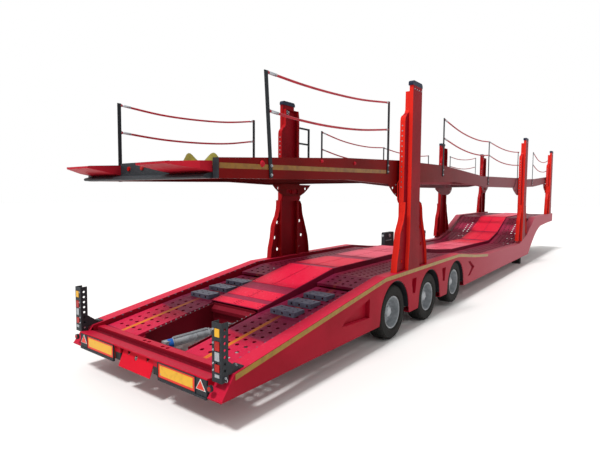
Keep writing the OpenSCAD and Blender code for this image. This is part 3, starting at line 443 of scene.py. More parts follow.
# The beams' dark red is the red enamel darkened with painted shade; their paler front is road dust and a
# painted sheen
beam_red = painted_steel("beam_enamel_in_painted_shade", "#700a0a", "#5c0808", "#8a1220", dust=0.2,
    zones=[("#7d454b", dust_and_sheen_front)])
flap_red = painted_steel("flap_enamel", "#b3202f", "#8f1521", "#c9142c", dust=0.3)
# The step's foot carries painted shade
rear_red = painted_steel("rear_end_enamel", "#b40f26", "#9c0d20", "#b71a36", dust=0.35,
    zones=[("#6f0f1f", step_shade)])
# The plate's top behind the holder is darkened with painted shadow
holder_red = painted_steel("plate_holder_enamel", "#cc1128", "#bd1026", "#cc1a36", dust=0.15,
    zones=[("#2a0508", holder_recess_shadow)])
# The rear tracks' maroon is painted shadow of the upper platform and their first metre painted sunlight; the
# orange guide line and its worn end are real paint
track_rear_red = painted_steel("rear_track_enamel_with_painted_light", "#7c1a38", "#6a1630", "#852243", grit=0.35,
    zones=[("#c41b41", sunlit_track_ends), ("#d0741c", guide_stripe), ("#9a4632", guide_trace)])
# The tracks' maroon is partly painted shade of the platforms above them
track_red = painted_steel("track_maroon_enamel_and_painted_shade", "#7a1733", "#66122b", "#932241", dust=0.35, grit=0.35)
plate_red = painted_steel("deck_plate_enamel", "#c43a52", "#b02e46", "#e0566c", dust=0.35, grit=0.3,
    zones=[("#dc1a3e", rear_plates), ("#d81c38", neck_plates)])
chassis_red = painted_steel("chassis_enamel", "#6a0d1b", "#560a17", "#7c1526", gloss=0.45)
zinc = plain_finish("hot_dip_zinc", "#6a6c80", "#4e4c60", 0.5, 0.3, scale=18)
steel = plain_finish("zinc_plated_steel", "#b9bcc0", "#8e9297", 0.35, 0.85, scale=60)
charcoal = plain_finish("charcoal_powder_coat", "#2b2f34", "#212327", 0.5, scale=40)
rail_coat = plain_finish("rail_powder_coat", "#1b2227", "#14181c", 0.5, scale=40)
chassis_black = plain_finish("black_chassis_paint", "#1b1b1d", "#2a2725", 0.55, scale=12)
tyre_rubber = plain_finish("tyre_rubber", "#232220", "#191817", 0.8, scale=25, bump_mm=0.6)
bellows = plain_finish("bellows_rubber", "#18181a", "#222224", 0.6, scale=40)
moulded = plain_finish("black_polythene", "#1a1b1e", "#25262a", 0.5, scale=30)
cap_blue = plain_finish("cap_plastic", "#111b30", "#182239", 0.5, scale=20)
blue_plastic = plain_finish("blue_end_cap", "#1d5fb4", "#174f99", 0.4, scale=20)
barrel_grey = plain_finish("weathered_barrel", "#a6aaae", "#6a6d70", 0.6, 0.2, scale=9, bump_mm=0.5)
wheel_silver = plain_finish("wheel_silver_lacquer", "#b0b4b8", "#8b9094", 0.4, 0.25, scale=15)
lamp_red = plain_finish("red_lamp_lens", "#b3140f", "#8c0e0b", 0.2, scale=50)
olive_tape = reflective_tape("olive_reflective_tape", "#9a7408", "#7d5a0e", (0.4, 0.75))
beam_tape = reflective_tape("dull_reflective_tape", "#855a08", "#6a400a", (0.4, 0.7))
marker_yellow = reflective_tape("marker_yellow_sheeting", "#dba316", "#b58317", (0.55, 0.9))
marker_red = reflective_tape("marker_red_sheeting", "#d8290f", "#a8210e", (0.55, 0.9))
white_tape = reflective_tape("white_reflective_tape", "#d8d8d4", "#9c9a92")
rope_red = woven("braided_guard_rope", "#b8142c", "#8c0f22", 6)
strap_cloth = woven("lashing_webbing", "#8d8420", "#5f5820", 8)

# Guard ropes: distance from the tail and height of the points that each hangs through

ROPES = {
    "rear_right": [
        [(0.775, 3.247), (1.3, 3.238), (1.9, 3.252), (2.6, 3.296), (3.348, 3.384)],
        [(0.803, 2.884), (1.3, 2.862), (1.9, 2.868), (2.6, 2.914), (3.348, 3.006)],
        [(5.622, 3.458), (6.4, 3.352), (7.15, 3.304), (7.9, 3.302), (8.598, 3.346)],
        [(5.622, 3.118), (6.4, 3.024), (7.15, 2.98), (7.9, 2.984), (8.598, 3.032)],
        [(8.642, 3.346), (9.45, 3.3), (10.2, 3.284), (11.000, 3.304), (11.778, 3.352)],
        [(8.642, 3.034), (9.45, 2.956), (10.2, 2.93), (11.000, 2.94), (11.778, 2.98)],
    ],
    "rear_left": [
        [(0.572, 3.152), (1.15, 3.118), (1.75, 3.132), (2.35, 3.18), (2.918, 3.268)],
        [(0.572, 2.822), (1.15, 2.796), (1.75, 2.808), (2.35, 2.854), (2.918, 2.944)],
        [(4.932, 3.318), (5.6, 3.232), (6.25, 3.196), (6.9, 3.2), (7.578, 3.248)],
        [(4.932, 2.982), (5.6, 2.896), (6.25, 2.86), (6.9, 2.864), (7.578, 2.914)],
        [(7.622, 3.242), (8.35, 3.196), (9.05, 3.182), (9.8, 3.202), (10.488, 3.262)],
        [(7.622, 2.908), (8.35, 2.86), (9.05, 2.846), (9.8, 2.866), (10.488, 2.926)],
    ],
    "front_right": [
        [(13.922, 3.508), (14.7, 3.34), (15.4, 3.296), (16.15, 3.334), (16.928, 3.466)],
        [(13.922, 3.116), (14.7, 2.986), (15.4, 2.952), (16.15, 2.986), (16.928, 3.1)],
    ],
    "front_left": [
        [(12.362, 3.37), (13.1, 3.342), (13.8, 3.362), (14.5, 3.42), (15.218, 3.52)],
        [(12.362, 3.06), (13.1, 3.03), (13.8, 3.04), (14.5, 3.094), (15.218, 3.186)],
    ],
}
ROPE_D = 0.026
# The ropes hang in the middle of the stanchions' thickness
ROPE_Y = PLATFORM_Y + 0.0063
ROPE_STEPS = 5
# Swaged steel ends of the ropes, at the rear and at the front, with an eye on each
END_LENGTHS = (0.13, 0.06)
END_SKIN = 0.0025
NECK_R = 0.007
EYE_R = 0.016
EYE_WIRE = 0.004


def smooth_route(points):
    """A smooth line through a few points, each stretch cut in ROPE_STEPS."""
    route = []
    for i in range(len(points) - 1):
        before, a, b, after = (points[min(max(k, 0), len(points) - 1)] for k in range(i - 1, i + 3))
        for s in range(ROPE_STEPS):
            t = s / ROPE_STEPS
            route.append((2 * a + (b - before) * t + (2 * before - 5 * a + 4 * b - after) * t ** 2
                + (3 * a - before - 3 * b + after) * t ** 3) / 2)
    return route + [points[-1]]


def add_rope(name, points, body, node):
    """A rope hung between two stanchions, with a swaged steel end on each."""
    route = smooth_route(points)
    curve = bpy.data.curves.new(name, "CURVE")
    curve.dimensions = "3D"
    curve.bevel_depth = ROPE_D / 2
    curve.bevel_resolution = 3
    curve.use_fill_caps = True
    spline = curve.splines.new("POLY")
    spline.points.add(len(route) - 1)
    for target, point in zip(spline.points, route):
        target.co = (*point, 1)
    rope = link(name, curve, body, rope_red, "rope")
    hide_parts(node)
    builder = bmesh.new()
    starts = (route[0], route[1]), (route[-1], route[-2])
    for (end, ahead), length in zip(starts, END_LENGTHS):
        away = (ahead - end).normalized()
        add_rod(builder, end + away * 0.02, end + away * length, ROPE_D / 2 + END_SKIN, 12)
        add_rod(builder, end - away * EYE_WIRE, end + away * 0.03, NECK_R, 10)
        add_ring(builder, end + away * EYE_WIRE, (0, 1, 0), EYE_R, EYE_WIRE, 16, 6)
    ends = link(name + "_ends", finish_mesh(name + "_ends", builder), body, steel, "galvanised", True)


for group, tables in ROPES.items():
    deck, side = group.split("_")
    for i, table in enumerate(tables):
        points = [place(x, SIDES[side] * ROPE_Y, z) for x, z in table]
        add_rope(f"guard_rope_{group}_{i + 1}", points, deck + "_platform", deck + "_platform_ropes")

# Finishes of the CAD nodes

FINISHES = [
    (side_red, "side_frame_right side_frame_left"),
    (chassis_red, "chassis_frame cross_members rear_well"),
    (rear_red, "rear_crossbeam"),
    (marker_red, "marker_boards"),
    (holder_red, "plate_panel"),
    (chassis_black, "underrun_bar axle_rear axle_middle axle_front landing_legs kingpin_plate"),
    (track_rear_red, "tracks_rear"),
    (track_red, "tracks_axles tracks_front centre_spine"),
    (plate_red, "centre_panels"),
    (zinc, "step_blocks"),
    (charcoal, "corner_posts control_box rear_platform_end"),
    (barrel_grey, "tilt_cylinder"),
    (bellows, "air_springs"),
    (moulded, "mudguards"),
    (post_red, "rear_posts middle_posts front_posts rear_carriages front_carriages"),
    (cap_blue, "post_caps"),
    (beam_red, "middle_brackets rear_platform_frame rear_platform_tracks"),
    (beam_red, "front_platform_frame front_platform_tracks"),
    (flap_red, "rear_platform_flaps"),
    (rail_coat, "handhold rear_platform_rails front_platform_rails"),
    (rope_red, "rear_platform_ropes front_platform_ropes"),
]
AXLES = ("rear", "middle", "front")


def coat(node, material):
    """Gives a CAD node its finish."""
    slots = nodes[node].material_slots
    if not slots:
        nodes[node].data.materials.append(material)
    for slot in slots:
        slot.material = material


for material, names in FINISHES:
    for node in names.split():
        coat(node, material)
for axle in AXLES:
    for side in SIDES:
        coat(f"tyre_{axle}_{side}", tyre_rubber)
        coat(f"rim_{axle}_{side}", wheel_silver)


def piece(name, builder, material, slot, body="chassis", smooth=False):
    """A finished mesh on a body."""
    return link(name, finish_mesh(name, builder), body, material, slot, smooth)


# Wheels

TYRE_SIDES = 96
# Outer half of the tyre's section: radius, distance from its middle, 1 where lugs are cut
TYRE_HALF = [(0.394, 0.01, 0), (0.384, 0.012, 0), (0.384, 0.022, 0), (0.394, 0.024, 0),
    (0.394, 0.05, 0), (0.384, 0.052, 0), (0.384, 0.06, 0), (0.3935, 0.062, 0), (0.3925, 0.08, 1),
    (0.389, 0.094, 1), (0.38, 0.107, 1), (0.366, 0.1165, 0), (0.362, 0.1205, 0), (0.352, 0.121, 0),
    (0.348, 0.119, 0), (0.334, 0.1212, 0), (0.3, 0.1222, 0), (0.296, 0.1208, 0), (0.276, 0.1208, 0),
    (0.262, 0.118, 0), (0.248, 0.106, 0), (0.236, 0.104, 0)]
LUG_DEPTH = 0.008
LUG_EVERY = 4
NUTS = 10
NUT_CIRCLE = 0.1125
# How far the disc's hub stands proud of the rim's middle
HUB_PROUD = 0.011
# Steps of the hub and of a nut with its washer and stud: start, end, radius, end radius, sides
HUB_STEPS = [(-0.002, 0.035, 0.082, 0.078, 32), (0.035, 0.052, 0.078, 0.052, 32)]
NUT_STEPS = [(-0.001, 0.005, 0.0165, 0.0165, 16), (0.005, 0.024, 0.0145, 0.0135, 6),
    (0.024, 0.034, 0.008, 0.008, 12)]
# Rings of the hub cap and of the rim's edge: distance out, radius, thickness, sides
CAP_RING = (0.004, 0.128, 0.005, 48)
RIM_RING = (0.104, 0.2265, 0.006, 64)
# Valve: its two ends on the wheel's face, and its radius
VALVE_STEM = (Vector((0.18, -0.03, 0.02)), Vector((0.205, 0.06, 0.022)), 0.004)


def add_tyre(axle, side):
    """A radial tyre with four grooves and cut shoulders."""
    node = f"tyre_{axle}_{side}"
    low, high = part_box(node)
    centre = (low + high) / 2
    section = [(r, -w, cut) for r, w, cut in reversed(TYRE_HALF)] + TYRE_HALF
    builder = bmesh.new()
    rings = []
    for i in range(TYRE_SIDES):
        angle = 2 * math.pi * i / TYRE_SIDES
        sunk = 0 if i % LUG_EVERY else LUG_DEPTH
        rings.append([builder.verts.new(centre + Vector(((r - sunk * cut) * math.cos(angle), w,
            (r - sunk * cut) * math.sin(angle)))) for r, w, cut in section])
    for i in range(TYRE_SIDES):
        a, b = rings[i], rings[(i + 1) % TYRE_SIDES]
        for k in range(len(section)):
            m = (k + 1) % len(section)
            builder.faces.new((a[k], a[m], b[m], b[k]))
    tyre = piece(node + "_tread", builder, tyre_rubber, "tyre", f"wheel_{axle}_{side}")
    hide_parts(node)


def add_hub(axle, side):
    """Nuts, hub cap, rim edge and valve on a wheel's outer face."""
    low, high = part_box(f"rim_{axle}_{side}")
    centre = (low + high) / 2
    sign = SIDES[side]
    out = Vector((0, sign, 0))
    face = centre + out * HUB_PROUD
    builder = bmesh.new()
    for start, end, radius, end_radius, sides in HUB_STEPS:
        add_rod(builder, face + out * start, face + out * end, radius, sides, end_radius)
    for base, (away, radius, thickness, sides) in ((face, CAP_RING), (centre, RIM_RING)):
        add_ring(builder, base + out * away, out, radius, thickness, sides, 8)
    for i in range(NUTS):
        angle = 2 * math.pi * (i + 0.5) / NUTS
        spot = face + Vector((math.cos(angle), 0, math.sin(angle))) * NUT_CIRCLE
        for start, end, radius, end_radius, sides in NUT_STEPS:
            add_rod(builder, spot + out * start, spot + out * end, radius, sides, end_radius)
    inner, outer = (Vector((p.x, sign * p.y, p.z)) for p in VALVE_STEM[:2])
    add_rod(builder, centre + inner, centre + outer, VALVE_STEM[2], 8)
    piece(f"hub_{axle}_{side}", builder, wheel_silver, "rim_silver", f"wheel_{axle}_{side}")


for axle in AXLES:
    for side in SIDES:
        add_tyre(axle, side)
        add_hub(axle, side)

# Reflective lines

STRIPE_H = 0.055
STRIPE_RUN = (0.17, 8.25)
STRIPE_STEP = 0.16
# Distance below the frame's top edge
STRIPE_DROP = 0.006
# Where the top edge is felt for, inside the frame's outer face
EDGE_INSET = 0.004
# A strip's distance off the paint under it
LIFT = 0.0008


def side_stripe(side):
    """The line below a side frame's top edge, from the tail to the low deck."""
    sign = SIDES[side]
    builder = bmesh.new()
    rows = []
    x = STRIPE_RUN[0]
    y = sign * (HALF_WIDTH + LIFT)
    while x < STRIPE_RUN[1]:
        z = top_at("side_frame_" + side, x, sign * (HALF_WIDTH - EDGE_INSET)) - STRIPE_DROP
        rows.append([place(x, y, z), place(x, y, z - STRIPE_H)])
        x += STRIPE_STEP
    add_strip(builder, rows)
    piece("side_stripe_" + side, builder, olive_tape, "marker_sheet")


# The beams' lines: start, end, height at the tail, rise for each metre, half height
BEAM_STRIPE = (0.155, 3.335, 2.319, 0.0275, 0.0245)


def beam_stripe(side):
    """The line on the outer face of a rear platform's beam."""
    start, end, height, rise, half = BEAM_STRIPE
    y = SIDES[side] * (PLATFORM_Y + LIFT)
    builder = bmesh.new()
    add_strip(builder, [[place(x, y, height + rise * x + half), place(x, y, height + rise * x - half)]
        for x in (start, end)])
    piece("beam_stripe_" + side, builder, beam_tape, "marker_sheet", "rear_platform")


for side in SIDES:
    side_stripe(side)
    beam_stripe(side)

# Rear end

# Easing of the edges of small steelwork
EASE = 0.0015
SHEET_W = 0.482
SHEET_H = 0.094
# How far the sheet lies above the board's middle
SHEET_UP = 0.003
# Bumper: outer end, and its bottom and top below the board
BUMPER_END = 1.09
BUMPER_Z = (0.028, 0.003)
# Frame: width, overlap past the board's edge, rear and front faces
FRAME_W = 0.014
LIP = 0.004
FRAME_X = (-0.006, 0.012)
# Screws: distance from the sheet's ends, distance below its middle, radius
SCREWS = (0.012, 0.03, 0.005)
# Carrier of the outer lamps: inner and outer edge, bottom and top
CARRIER = (0.944, 1.092, 0.3, 0.458)
# The board and the carriers stand this far forward of the tail
CARRIER_X = 0.0195


def add_marker(side, low, high):
    """A yellow field in a marker board's red border, with its frame, bumper and screws."""
    middle = (low + high) / 2
    face = low.x
    half = SHEET_W / 2
    builder = bmesh.new()
    add_box(builder, (face - 0.002, middle.y - half, middle.z - SHEET_H / 2 + SHEET_UP),
        (face + SEAT, middle.y + half, middle.z + SHEET_H / 2 + SHEET_UP))
    piece("marker_field_" + side, builder, marker_yellow, "marker_sheet")
    builder = bmesh.new()
    for a, b in (((low.y - LIP, low.z - LIP), (high.y + LIP, low.z + FRAME_W / 2)),
            ((low.y - LIP, high.z - FRAME_W / 2), (high.y + LIP, high.z + LIP)),
            ((low.y - LIP, low.z), (low.y + FRAME_W / 2, high.z)),
            ((high.y - FRAME_W / 2, low.z), (high.y + LIP, high.z))):
        add_box(builder, (face + FRAME_X[0], *a), (face + FRAME_X[1], *b), EASE)
    # Rubber bumper below the board and its lamp
    ends = [low.y, high.y]
    ends[0 if side == "right" else 1] = SIDES[side] * BUMPER_END
    bottom, top = (low.z - below for below in BUMPER_Z)
    add_box(builder, (face + FRAME_X[0], ends[0], bottom), (face + CARRIER_X, ends[1], top), bevel=0.003)
    piece("marker_frame_" + side, builder, charcoal, "charcoal_paint")
    inset, below, radius = SCREWS
    z = middle.z - below
    builder = bmesh.new()
    for y in (middle.y - half + inset, middle.y + half - inset):
        add_rod(builder, (face - 0.0045, y, z), (face - SEAT, y, z), radius, 12)
    piece("marker_screws_" + side, builder, steel, "galvanised")


# Round lamp on the side frame's end: Y and Z of its middle
LAMP = (1.15, 0.405)
# Corners of the triangle, and its layers: size, thickness, finish
TRIANGLE = [(0.95, 0.353), (1.08, 0.353), (1.012, 0.452)]
LAYERS = [("edge", 1.0, 0.004, white_tape), ("reflector", 0.78, 0.008, marker_red)]


def add_lamp_rod(builder, sign, start, end, radius, end_radius):
    """A step of the round lamp between two distances forward of the tail."""
    y, z = LAMP
    add_rod(builder, (TAIL + start, sign * y, z), (TAIL + end, sign * y, z), radius, 28, end_radius)


def add_rear_lamps(side):
    """A triangle reflector and its carrier beside a marker board, and a lamp on the side frame."""
    sign = SIDES[side]
    inner, outer, bottom, top = CARRIER
    face = TAIL + 0.002
    builder = bmesh.new()
    add_box(builder, (face, sign * inner, bottom), (TAIL + CARRIER_X, sign * outer, top), bevel=0.002)
    add_lamp_rod(builder, sign, 0.002, -0.022, 0.03, 0.03)
    piece("lamp_carrier_" + side, builder, charcoal, "charcoal_paint")
    centre = tuple(sum(p[k] for p in TRIANGLE) / 3 for k in (0, 1))
    for label, scale, thickness, material in LAYERS:
        builder = bmesh.new()
        corners = [(face + 0.0005, sign * (centre[0] + (p[0] - centre[0]) * scale),
            centre[1] + (p[1] - centre[1]) * scale) for p in TRIANGLE]
        add_slab(builder, corners, (-1, 0, 0), thickness)
        piece(f"triangle_{label}_{side}", builder, material, "marker_sheet")
    builder = bmesh.new()
    add_lamp_rod(builder, sign, -0.02, -0.028, 0.022, 0.017)
    piece("tail_lamp_" + side, builder, lamp_red, "marker_sheet")


# Marks on the corner posts' rear faces: bottom, top, finish
CORNER_MARKS = [("amber", 0.857, 0.93, marker_yellow), ("red_upper", 0.735, 0.818, lamp_red),
    ("silver_upper", 0.647, 0.725, steel), ("red_lower", 0.549, 0.617, lamp_red),
    ("silver_lower", 0.5, 0.53, steel)]
CORNER_POST_Y = 1.19
# Distances of the marks' edges and of the bolts from the post's middle
MARK_EDGES = (-0.022, 0.038)
MARK_BOLTS = -0.042
MARK_BOLTS_Z = (0.56, 0.62, 0.74, 0.8, 0.92)
# Locking pin through the foot: distance forward of the face, its two ends, height, radius
PIN = (0.04, 1.128, 1.262, 0.498, 0.01)
# Its ring: height, radius, wire
PIN_RING = (0.48, 0.018, 0.003)
FOOT_BOLTS_X = (0.19, 0.26)


def add_corner_fittings(side):
    """Reflectors, bolts and the locking pin of a corner post."""
    sign = SIDES[side]
    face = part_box("corner_posts")[0].x
    for label, bottom, top, material in CORNER_MARKS:
        builder = bmesh.new()
        add_box(builder, (face + SEAT, sign * (CORNER_POST_Y + MARK_EDGES[0]), bottom),
            (face - 0.006, sign * (CORNER_POST_Y + MARK_EDGES[1]), top), bevel=0.002)
        piece(f"corner_{label}_{side}", builder, material, "marker_sheet")
    builder = bmesh.new()
    for z in MARK_BOLTS_Z:
        add_bolt(builder, (face, sign * (CORNER_POST_Y + MARK_BOLTS), z), (-1, 0, 0), 0.014, 0.007)
    ahead, inner, outer, z, radius = PIN
    x = face + ahead
    add_rod(builder, (x, sign * inner, z), (x, sign * outer, z), radius, 14)
    z, radius, wire = PIN_RING
    add_ring(builder, (x, sign * outer, z), (1, 0, 0), radius, wire)
    y = sign * CORNER_POST_Y
    for x in FOOT_BOLTS_X:
        add_bolt(builder, place(x, y, top_at("corner_posts", x, y)), (0, 0, 1), width=0.022)
    piece("corner_steelwork_" + side, builder, steel, "galvanised")


for low, high in islands("marker_boards"):
    add_marker("right" if low.y < 0 else "left", low, high)
for side in SIDES:
    add_rear_lamps(side)
    add_corner_fittings(side)

# Rear well

CYLINDER = (place(0.44, 0.04, 0.43), place(0.88, -0.14, 0.49))
CAP_R = 0.0505
# Bands round the barrel: distance from its rear end, length, radius
GLANDS = ((0.05, 0.016, 0.054), (0.3, 0.02, 0.0515), (0.455, 0.022, 0.055))
ROD_EYE = (0.03, 0.038)
# Pipes above the barrel: their ends, height over its axis, distance either side
PIPE_ENDS = (0.055, 0.44)
PIPE_LIFT = Vector((0, 0, 0.056))
PIPE_SHIFT = 0.016


def add_cylinder_gear():
    """Glands, end cap, pipes and clips of the tilt cylinder."""
    rear, front = CYLINDER
    along = (front - rear).normalized()
    builder = bmesh.new()
    add_rod(builder, rear - along * 0.004, rear + along * 0.05, CAP_R, 32)
    piece("cylinder_cap", builder, blue_plastic, "galvanised")
    builder = bmesh.new()
    for start, length, radius in GLANDS:
        add_rod(builder, rear + along * start, rear + along * (start + length), radius, 32)
    add_rod(builder, front, front + along * ROD_EYE[0], ROD_EYE[1], 24)
    piece("cylinder_glands", builder, barrel_grey, "galvanised", smooth=True)
    builder = bmesh.new()
    for shift in (-PIPE_SHIFT, PIPE_SHIFT):
        across = along.cross(Vector((0, 0, 1))).normalized() * shift
        ends = [rear + along * end + PIPE_LIFT + across for end in PIPE_ENDS]
        add_rod(builder, *ends, 0.006, 12)
        for end, upper in zip(PIPE_ENDS, ends):
            add_rod(builder, rear + along * end + across, upper, 0.008, 12)
    piece("cylinder_pipes", builder, steel, "galvanised")


# Catches: how many, first one, pitch, half length
CATCHES = (13, 0.44, 0.072, 0.009)
# Inner face, middle and outer face of the well's edge
WELL_EDGE = (0.3695, 0.374, 0.3785)


def add_well_lugs():
    """Catches along the well's upper edges."""
    count, first, pitch, half = CATCHES
    inner, middle, outer = WELL_EDGE
    builder = bmesh.new()
    for sign in (-1, 1):
        for i in range(count):
            x = first + i * pitch
            z = top_at("rear_well", x, sign * middle)
            add_box(builder, place(x - half, sign * inner, z - SEAT),
                place(x + half, sign * outer, z + 0.012), EASE)
    piece("well_catches", builder, steel, "galvanised")


add_cylinder_gear()
add_well_lugs()

# Decks

LUG_PITCH = 0.115
LUG_RUN = (0.42, 16.9)
# Lugs stop this far from a post's middle
POST_CLEAR = 0.66
# Y of the flange that the lugs hang from, and of their two faces
FLANGE_Y = 1.108
LUG_Y = (1.0995, 1.082)
SCREW_EDGE = 0.035


def add_edge_lugs():
    """Lashing eyes along the inner edges of the side frames' top flanges."""
    builder = bmesh.new()
    for side, sign in SIDES.items():
        x = LUG_RUN[0]
        while x < LUG_RUN[1]:
            if all(abs(x - post) > POST_CLEAR for post in POSTS.values()):
                z = top_at("side_frame_" + side, x, sign * FLANGE_Y)
                add_box(builder, place(x - 0.012, sign * LUG_Y[0], z - 0.011),
                    place(x + 0.012, sign * LUG_Y[1], z - 0.003), EASE)
            x += LUG_PITCH
    piece("lashing_eyes", builder, zinc, "galvanised")


def add_plate_screws():
    """Countersunk screws near the corners of the centre plates."""
    builder = bmesh.new()
    for low, high in islands("centre_panels"):
        for x in (low.x + SCREW_EDGE, (low.x + high.x) / 2, high.x - SCREW_EDGE):
            for y in (low.y + SCREW_EDGE, high.y - SCREW_EDGE):
                z = top_at("centre_panels", x - TAIL, y)
                add_rod(builder, (x, y, z - 0.002), (x, y, z + 0.0015), 0.009, 12, 0.007)
    piece("plate_screws", builder, chassis_red, "dark_red_paint")


add_edge_lugs()
add_plate_screws()

# Posts

CAP_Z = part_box("post_caps")[0].z
# Eye under the cap: distance behind the post's middle, half width, the plate's bottom and top
EYE = (0.04, 0.02, 3.54, 3.61)
# Faces of the eye's plate, ends of its pin, and the shackle's middle
EYE_Y = (1.205, 1.188)
EYE_PIN_Y = (1.15, 1.212)
SHACKLE_Y = 1.165
# Bushes in the channel's rear flange: how many, lowest one, pitch
BUSHES = (13, 2.2, 0.075)
BUSH_AT = (-0.26, 1.172)
# Bolts below the cap: how many, first one, pitch, depth below it
CAP_BOLTS = (4, -0.09, 0.08, 0.05)


def add_post_gear(node, centre):
    """Bushes, seam bolts and the lifting eyes of a pair of posts."""
    builder = bmesh.new()
    behind, half, bottom, top = EYE
    x = centre - behind
    for sign in SIDES.values():
        plate = place(x - half, sign * EYE_Y[0], bottom), place(x + half, sign * EYE_Y[1], top)
        add_box(builder, *plate, bevel=0.003)
        pin = [place(x, sign * y, 3.575) for y in EYE_PIN_Y]
        add_rod(builder, *pin, 0.012)
        add_ring(builder, place(x, sign * SHACKLE_Y, 3.552), (0, 1, 0), 0.024, 0.005)
        count, lowest, pitch = BUSHES
        for i in range(count):
            spot = place(centre + BUSH_AT[0], sign * BUSH_AT[1], lowest + i * pitch)
            add_rod(builder, spot + Vector((SEAT, 0, 0)), spot - Vector((0.002, 0, 0)), 0.01, 14)
        count, first, pitch, below = CAP_BOLTS
        for i in range(count):
            spot = place(centre + first + i * pitch, sign * HALF_WIDTH, CAP_Z - below)
            add_bolt(builder, spot, (0, sign, 0), 0.016, 0.008)
    piece(node + "_fittings", builder, steel, "galvanised")


for node, centre in POSTS.items():
    add_post_gear(node, centre)

# Platforms

# Buffers on the beams: distance from the tail, height, radius
KNOBS = [(0.708, 2.368, 0.034), (1.718, 2.458, 0.02), (2.451, 2.476, 0.024)]
# Lamps on the end plate: Y and height
END_SPOTS = [(0.26, 2.33), (0.026, 2.333)]
# From a stanchion's upright edge to its bolts, and the bolts' heights over its foot
FOOT_IN = 0.022
FOOT_BOLTS_Z = (0.03, 0.12)


def add_stanchion_bolts(deck):
    """Bolts or a plate at each stanchion's foot."""
    builder = bmesh.new()
    for low, high in islands(deck + "_platform_rails"):
        sign = 1 if low.y > 0 else -1
        outer = high.y if sign > 0 else low.y
        # The foot is at the upright edge, away from the lean
        x = high.x - FOOT_IN
        if abs(outer) > PLATFORM_Y:
            for up in FOOT_BOLTS_Z:
                add_bolt(builder, (x, outer, low.z + up), (0, sign, 0), 0.02, 0.01)
        else:
            # Foot plate of a stanchion that stands on the beam
            add_box(builder, (x - 0.05, low.y - 0.02, low.z - LIFT),
                (x + 0.05, high.y + 0.012, low.z + 0.008), bevel=0.002)
    piece(deck + "_stanchion_bolts", builder, steel, "galvanised", deck + "_platform")


def add_knobs():
    """Red buffers on the rear platform's beams and lamps on its end plate."""
    builder = bmesh.new()
    for sign in SIDES.values():
        for x, z, radius in KNOBS:
            spot = place(x, sign * (PLATFORM_Y - SEAT), z)
            add_rod(builder, spot, spot + Vector((0, sign * 0.016, 0)), radius, 20, radius * 0.7)
    piece("beam_buffers", builder, flap_red, "red_paint", "rear_platform")
    builder = bmesh.new()
    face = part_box("rear_platform_end")[1].x - 0.008
    for y, z in END_SPOTS:
        add_rod(builder, (face + SEAT, y, z), (face - 0.012, y, z), 0.026, 24, 0.022)
    piece("end_lamps", builder, lamp_red, "red_paint", "rear_platform")


for deck in ("rear", "front"):
    add_stanchion_bolts(deck)
add_knobs()

# Hanging brackets: platform, posts, height of the pin; places of the bolts round it
BRACKETS = (("rear", "rear_posts", 2.13), ("front", "front_posts", 2.38))
BRACKET_BOLTS = [(dx, dz) for dx in (-0.3, -0.22, 0.22, 0.3) for dz in (-0.035, 0.105)]
OUTSIDE_Y = 1.5


def add_beam_bolts():
    """Bolts round the hanging brackets of the platforms' beams, where a beam's face carries them."""
    for deck, post, height in BRACKETS:
        builder = bmesh.new()
        for sign in SIDES.values():
            for dx, dz in BRACKET_BOLTS:
                start = place(POSTS[post] + dx, sign * OUTSIDE_Y, height + dz)
                spot = hit(deck + "_platform_frame", start, (0, -sign, 0))
                if spot and abs(abs(spot.y) - PLATFORM_Y) < 0.002:
                    add_bolt(builder, spot, (0, sign, 0), 0.018, 0.008)
        piece(deck + "_bracket_bolts", builder, steel, "galvanised", deck + "_platform")


# Control box

# Start, end and top, and its inner face's distance from the side frame's outer face
BOX = (7.875, 8.385, 1.13)
BOX_DEPTH = 0.11
# Levers: how many, first one, pitch; depth of foot and knob below the box's top
LEVERS = (4, 0.05, 0.066)
LEVER_Z = (0.21, 0.2)
HINGES_Z = (0.03, 0.29)


def add_controls():
    """Gauge, lever knobs and hinges of the control box on the left side frame."""
    builder = bmesh.new()
    y = HALF_WIDTH - BOX_DEPTH
    start, end, top = BOX
    middle = (start + end) / 2
    add_rod(builder, place(middle, y + SEAT, top - 0.09), place(middle, y - 0.014, top - 0.09), 0.045, 28)
    dial = [place(start + dx, y + 0.06, top - 0.08) for dx in (SEAT, -0.012)]
    add_rod(builder, *dial, 0.03, 28)
    count, first, pitch = LEVERS
    foot, knob = (top - below for below in LEVER_Z)
    for i in range(count):
        x = start + first + i * pitch
        add_rod(builder, place(x, y + 0.002, foot), place(x, y - 0.035, knob), 0.005, 10)
        bmesh.ops.create_uvsphere(builder, u_segments=14, v_segments=9, radius=0.011,
            matrix=Matrix.Translation(place(x, y - 0.038, knob)))
    for z in (top - below for below in HINGES_Z):
        add_rod(builder, place(end - SEAT, y + 0.02, z), place(end + 0.008, y + 0.02, z), 0.009, 10)
    piece("control_gear", builder, steel, "galvanised")


add_controls()

# Lashing webbing left on the right rear corner of the upper platform

HEAP_X = (0.158, 0.54)
HEAP_Y = (-1.0, -0.45)
HEAP_STEPS = (46, 34)
# Thickness of the net, the crowns' height and that of its folds; length over width
HEAP_Z = (0.012, 0.105, 0.022)
# Crowns: place along and across as shares, their spreads, height
CROWNS = ((0.2, 0.78, 0.17, 0.2, 1.0), (0.6, 0.46, 0.17, 0.17, 0.95))
# The track under it: height at the heap's rear edge, and rise for each metre
TRACK_Y = -0.96
HEAP_BASE = top_at("rear_platform_tracks", HEAP_X[0] + 0.01, TRACK_Y) + 0.002
HEAP_RISE = (top_at("rear_platform_tracks", 1.0, TRACK_Y) - HEAP_BASE) / (1.0 - HEAP_X[0])


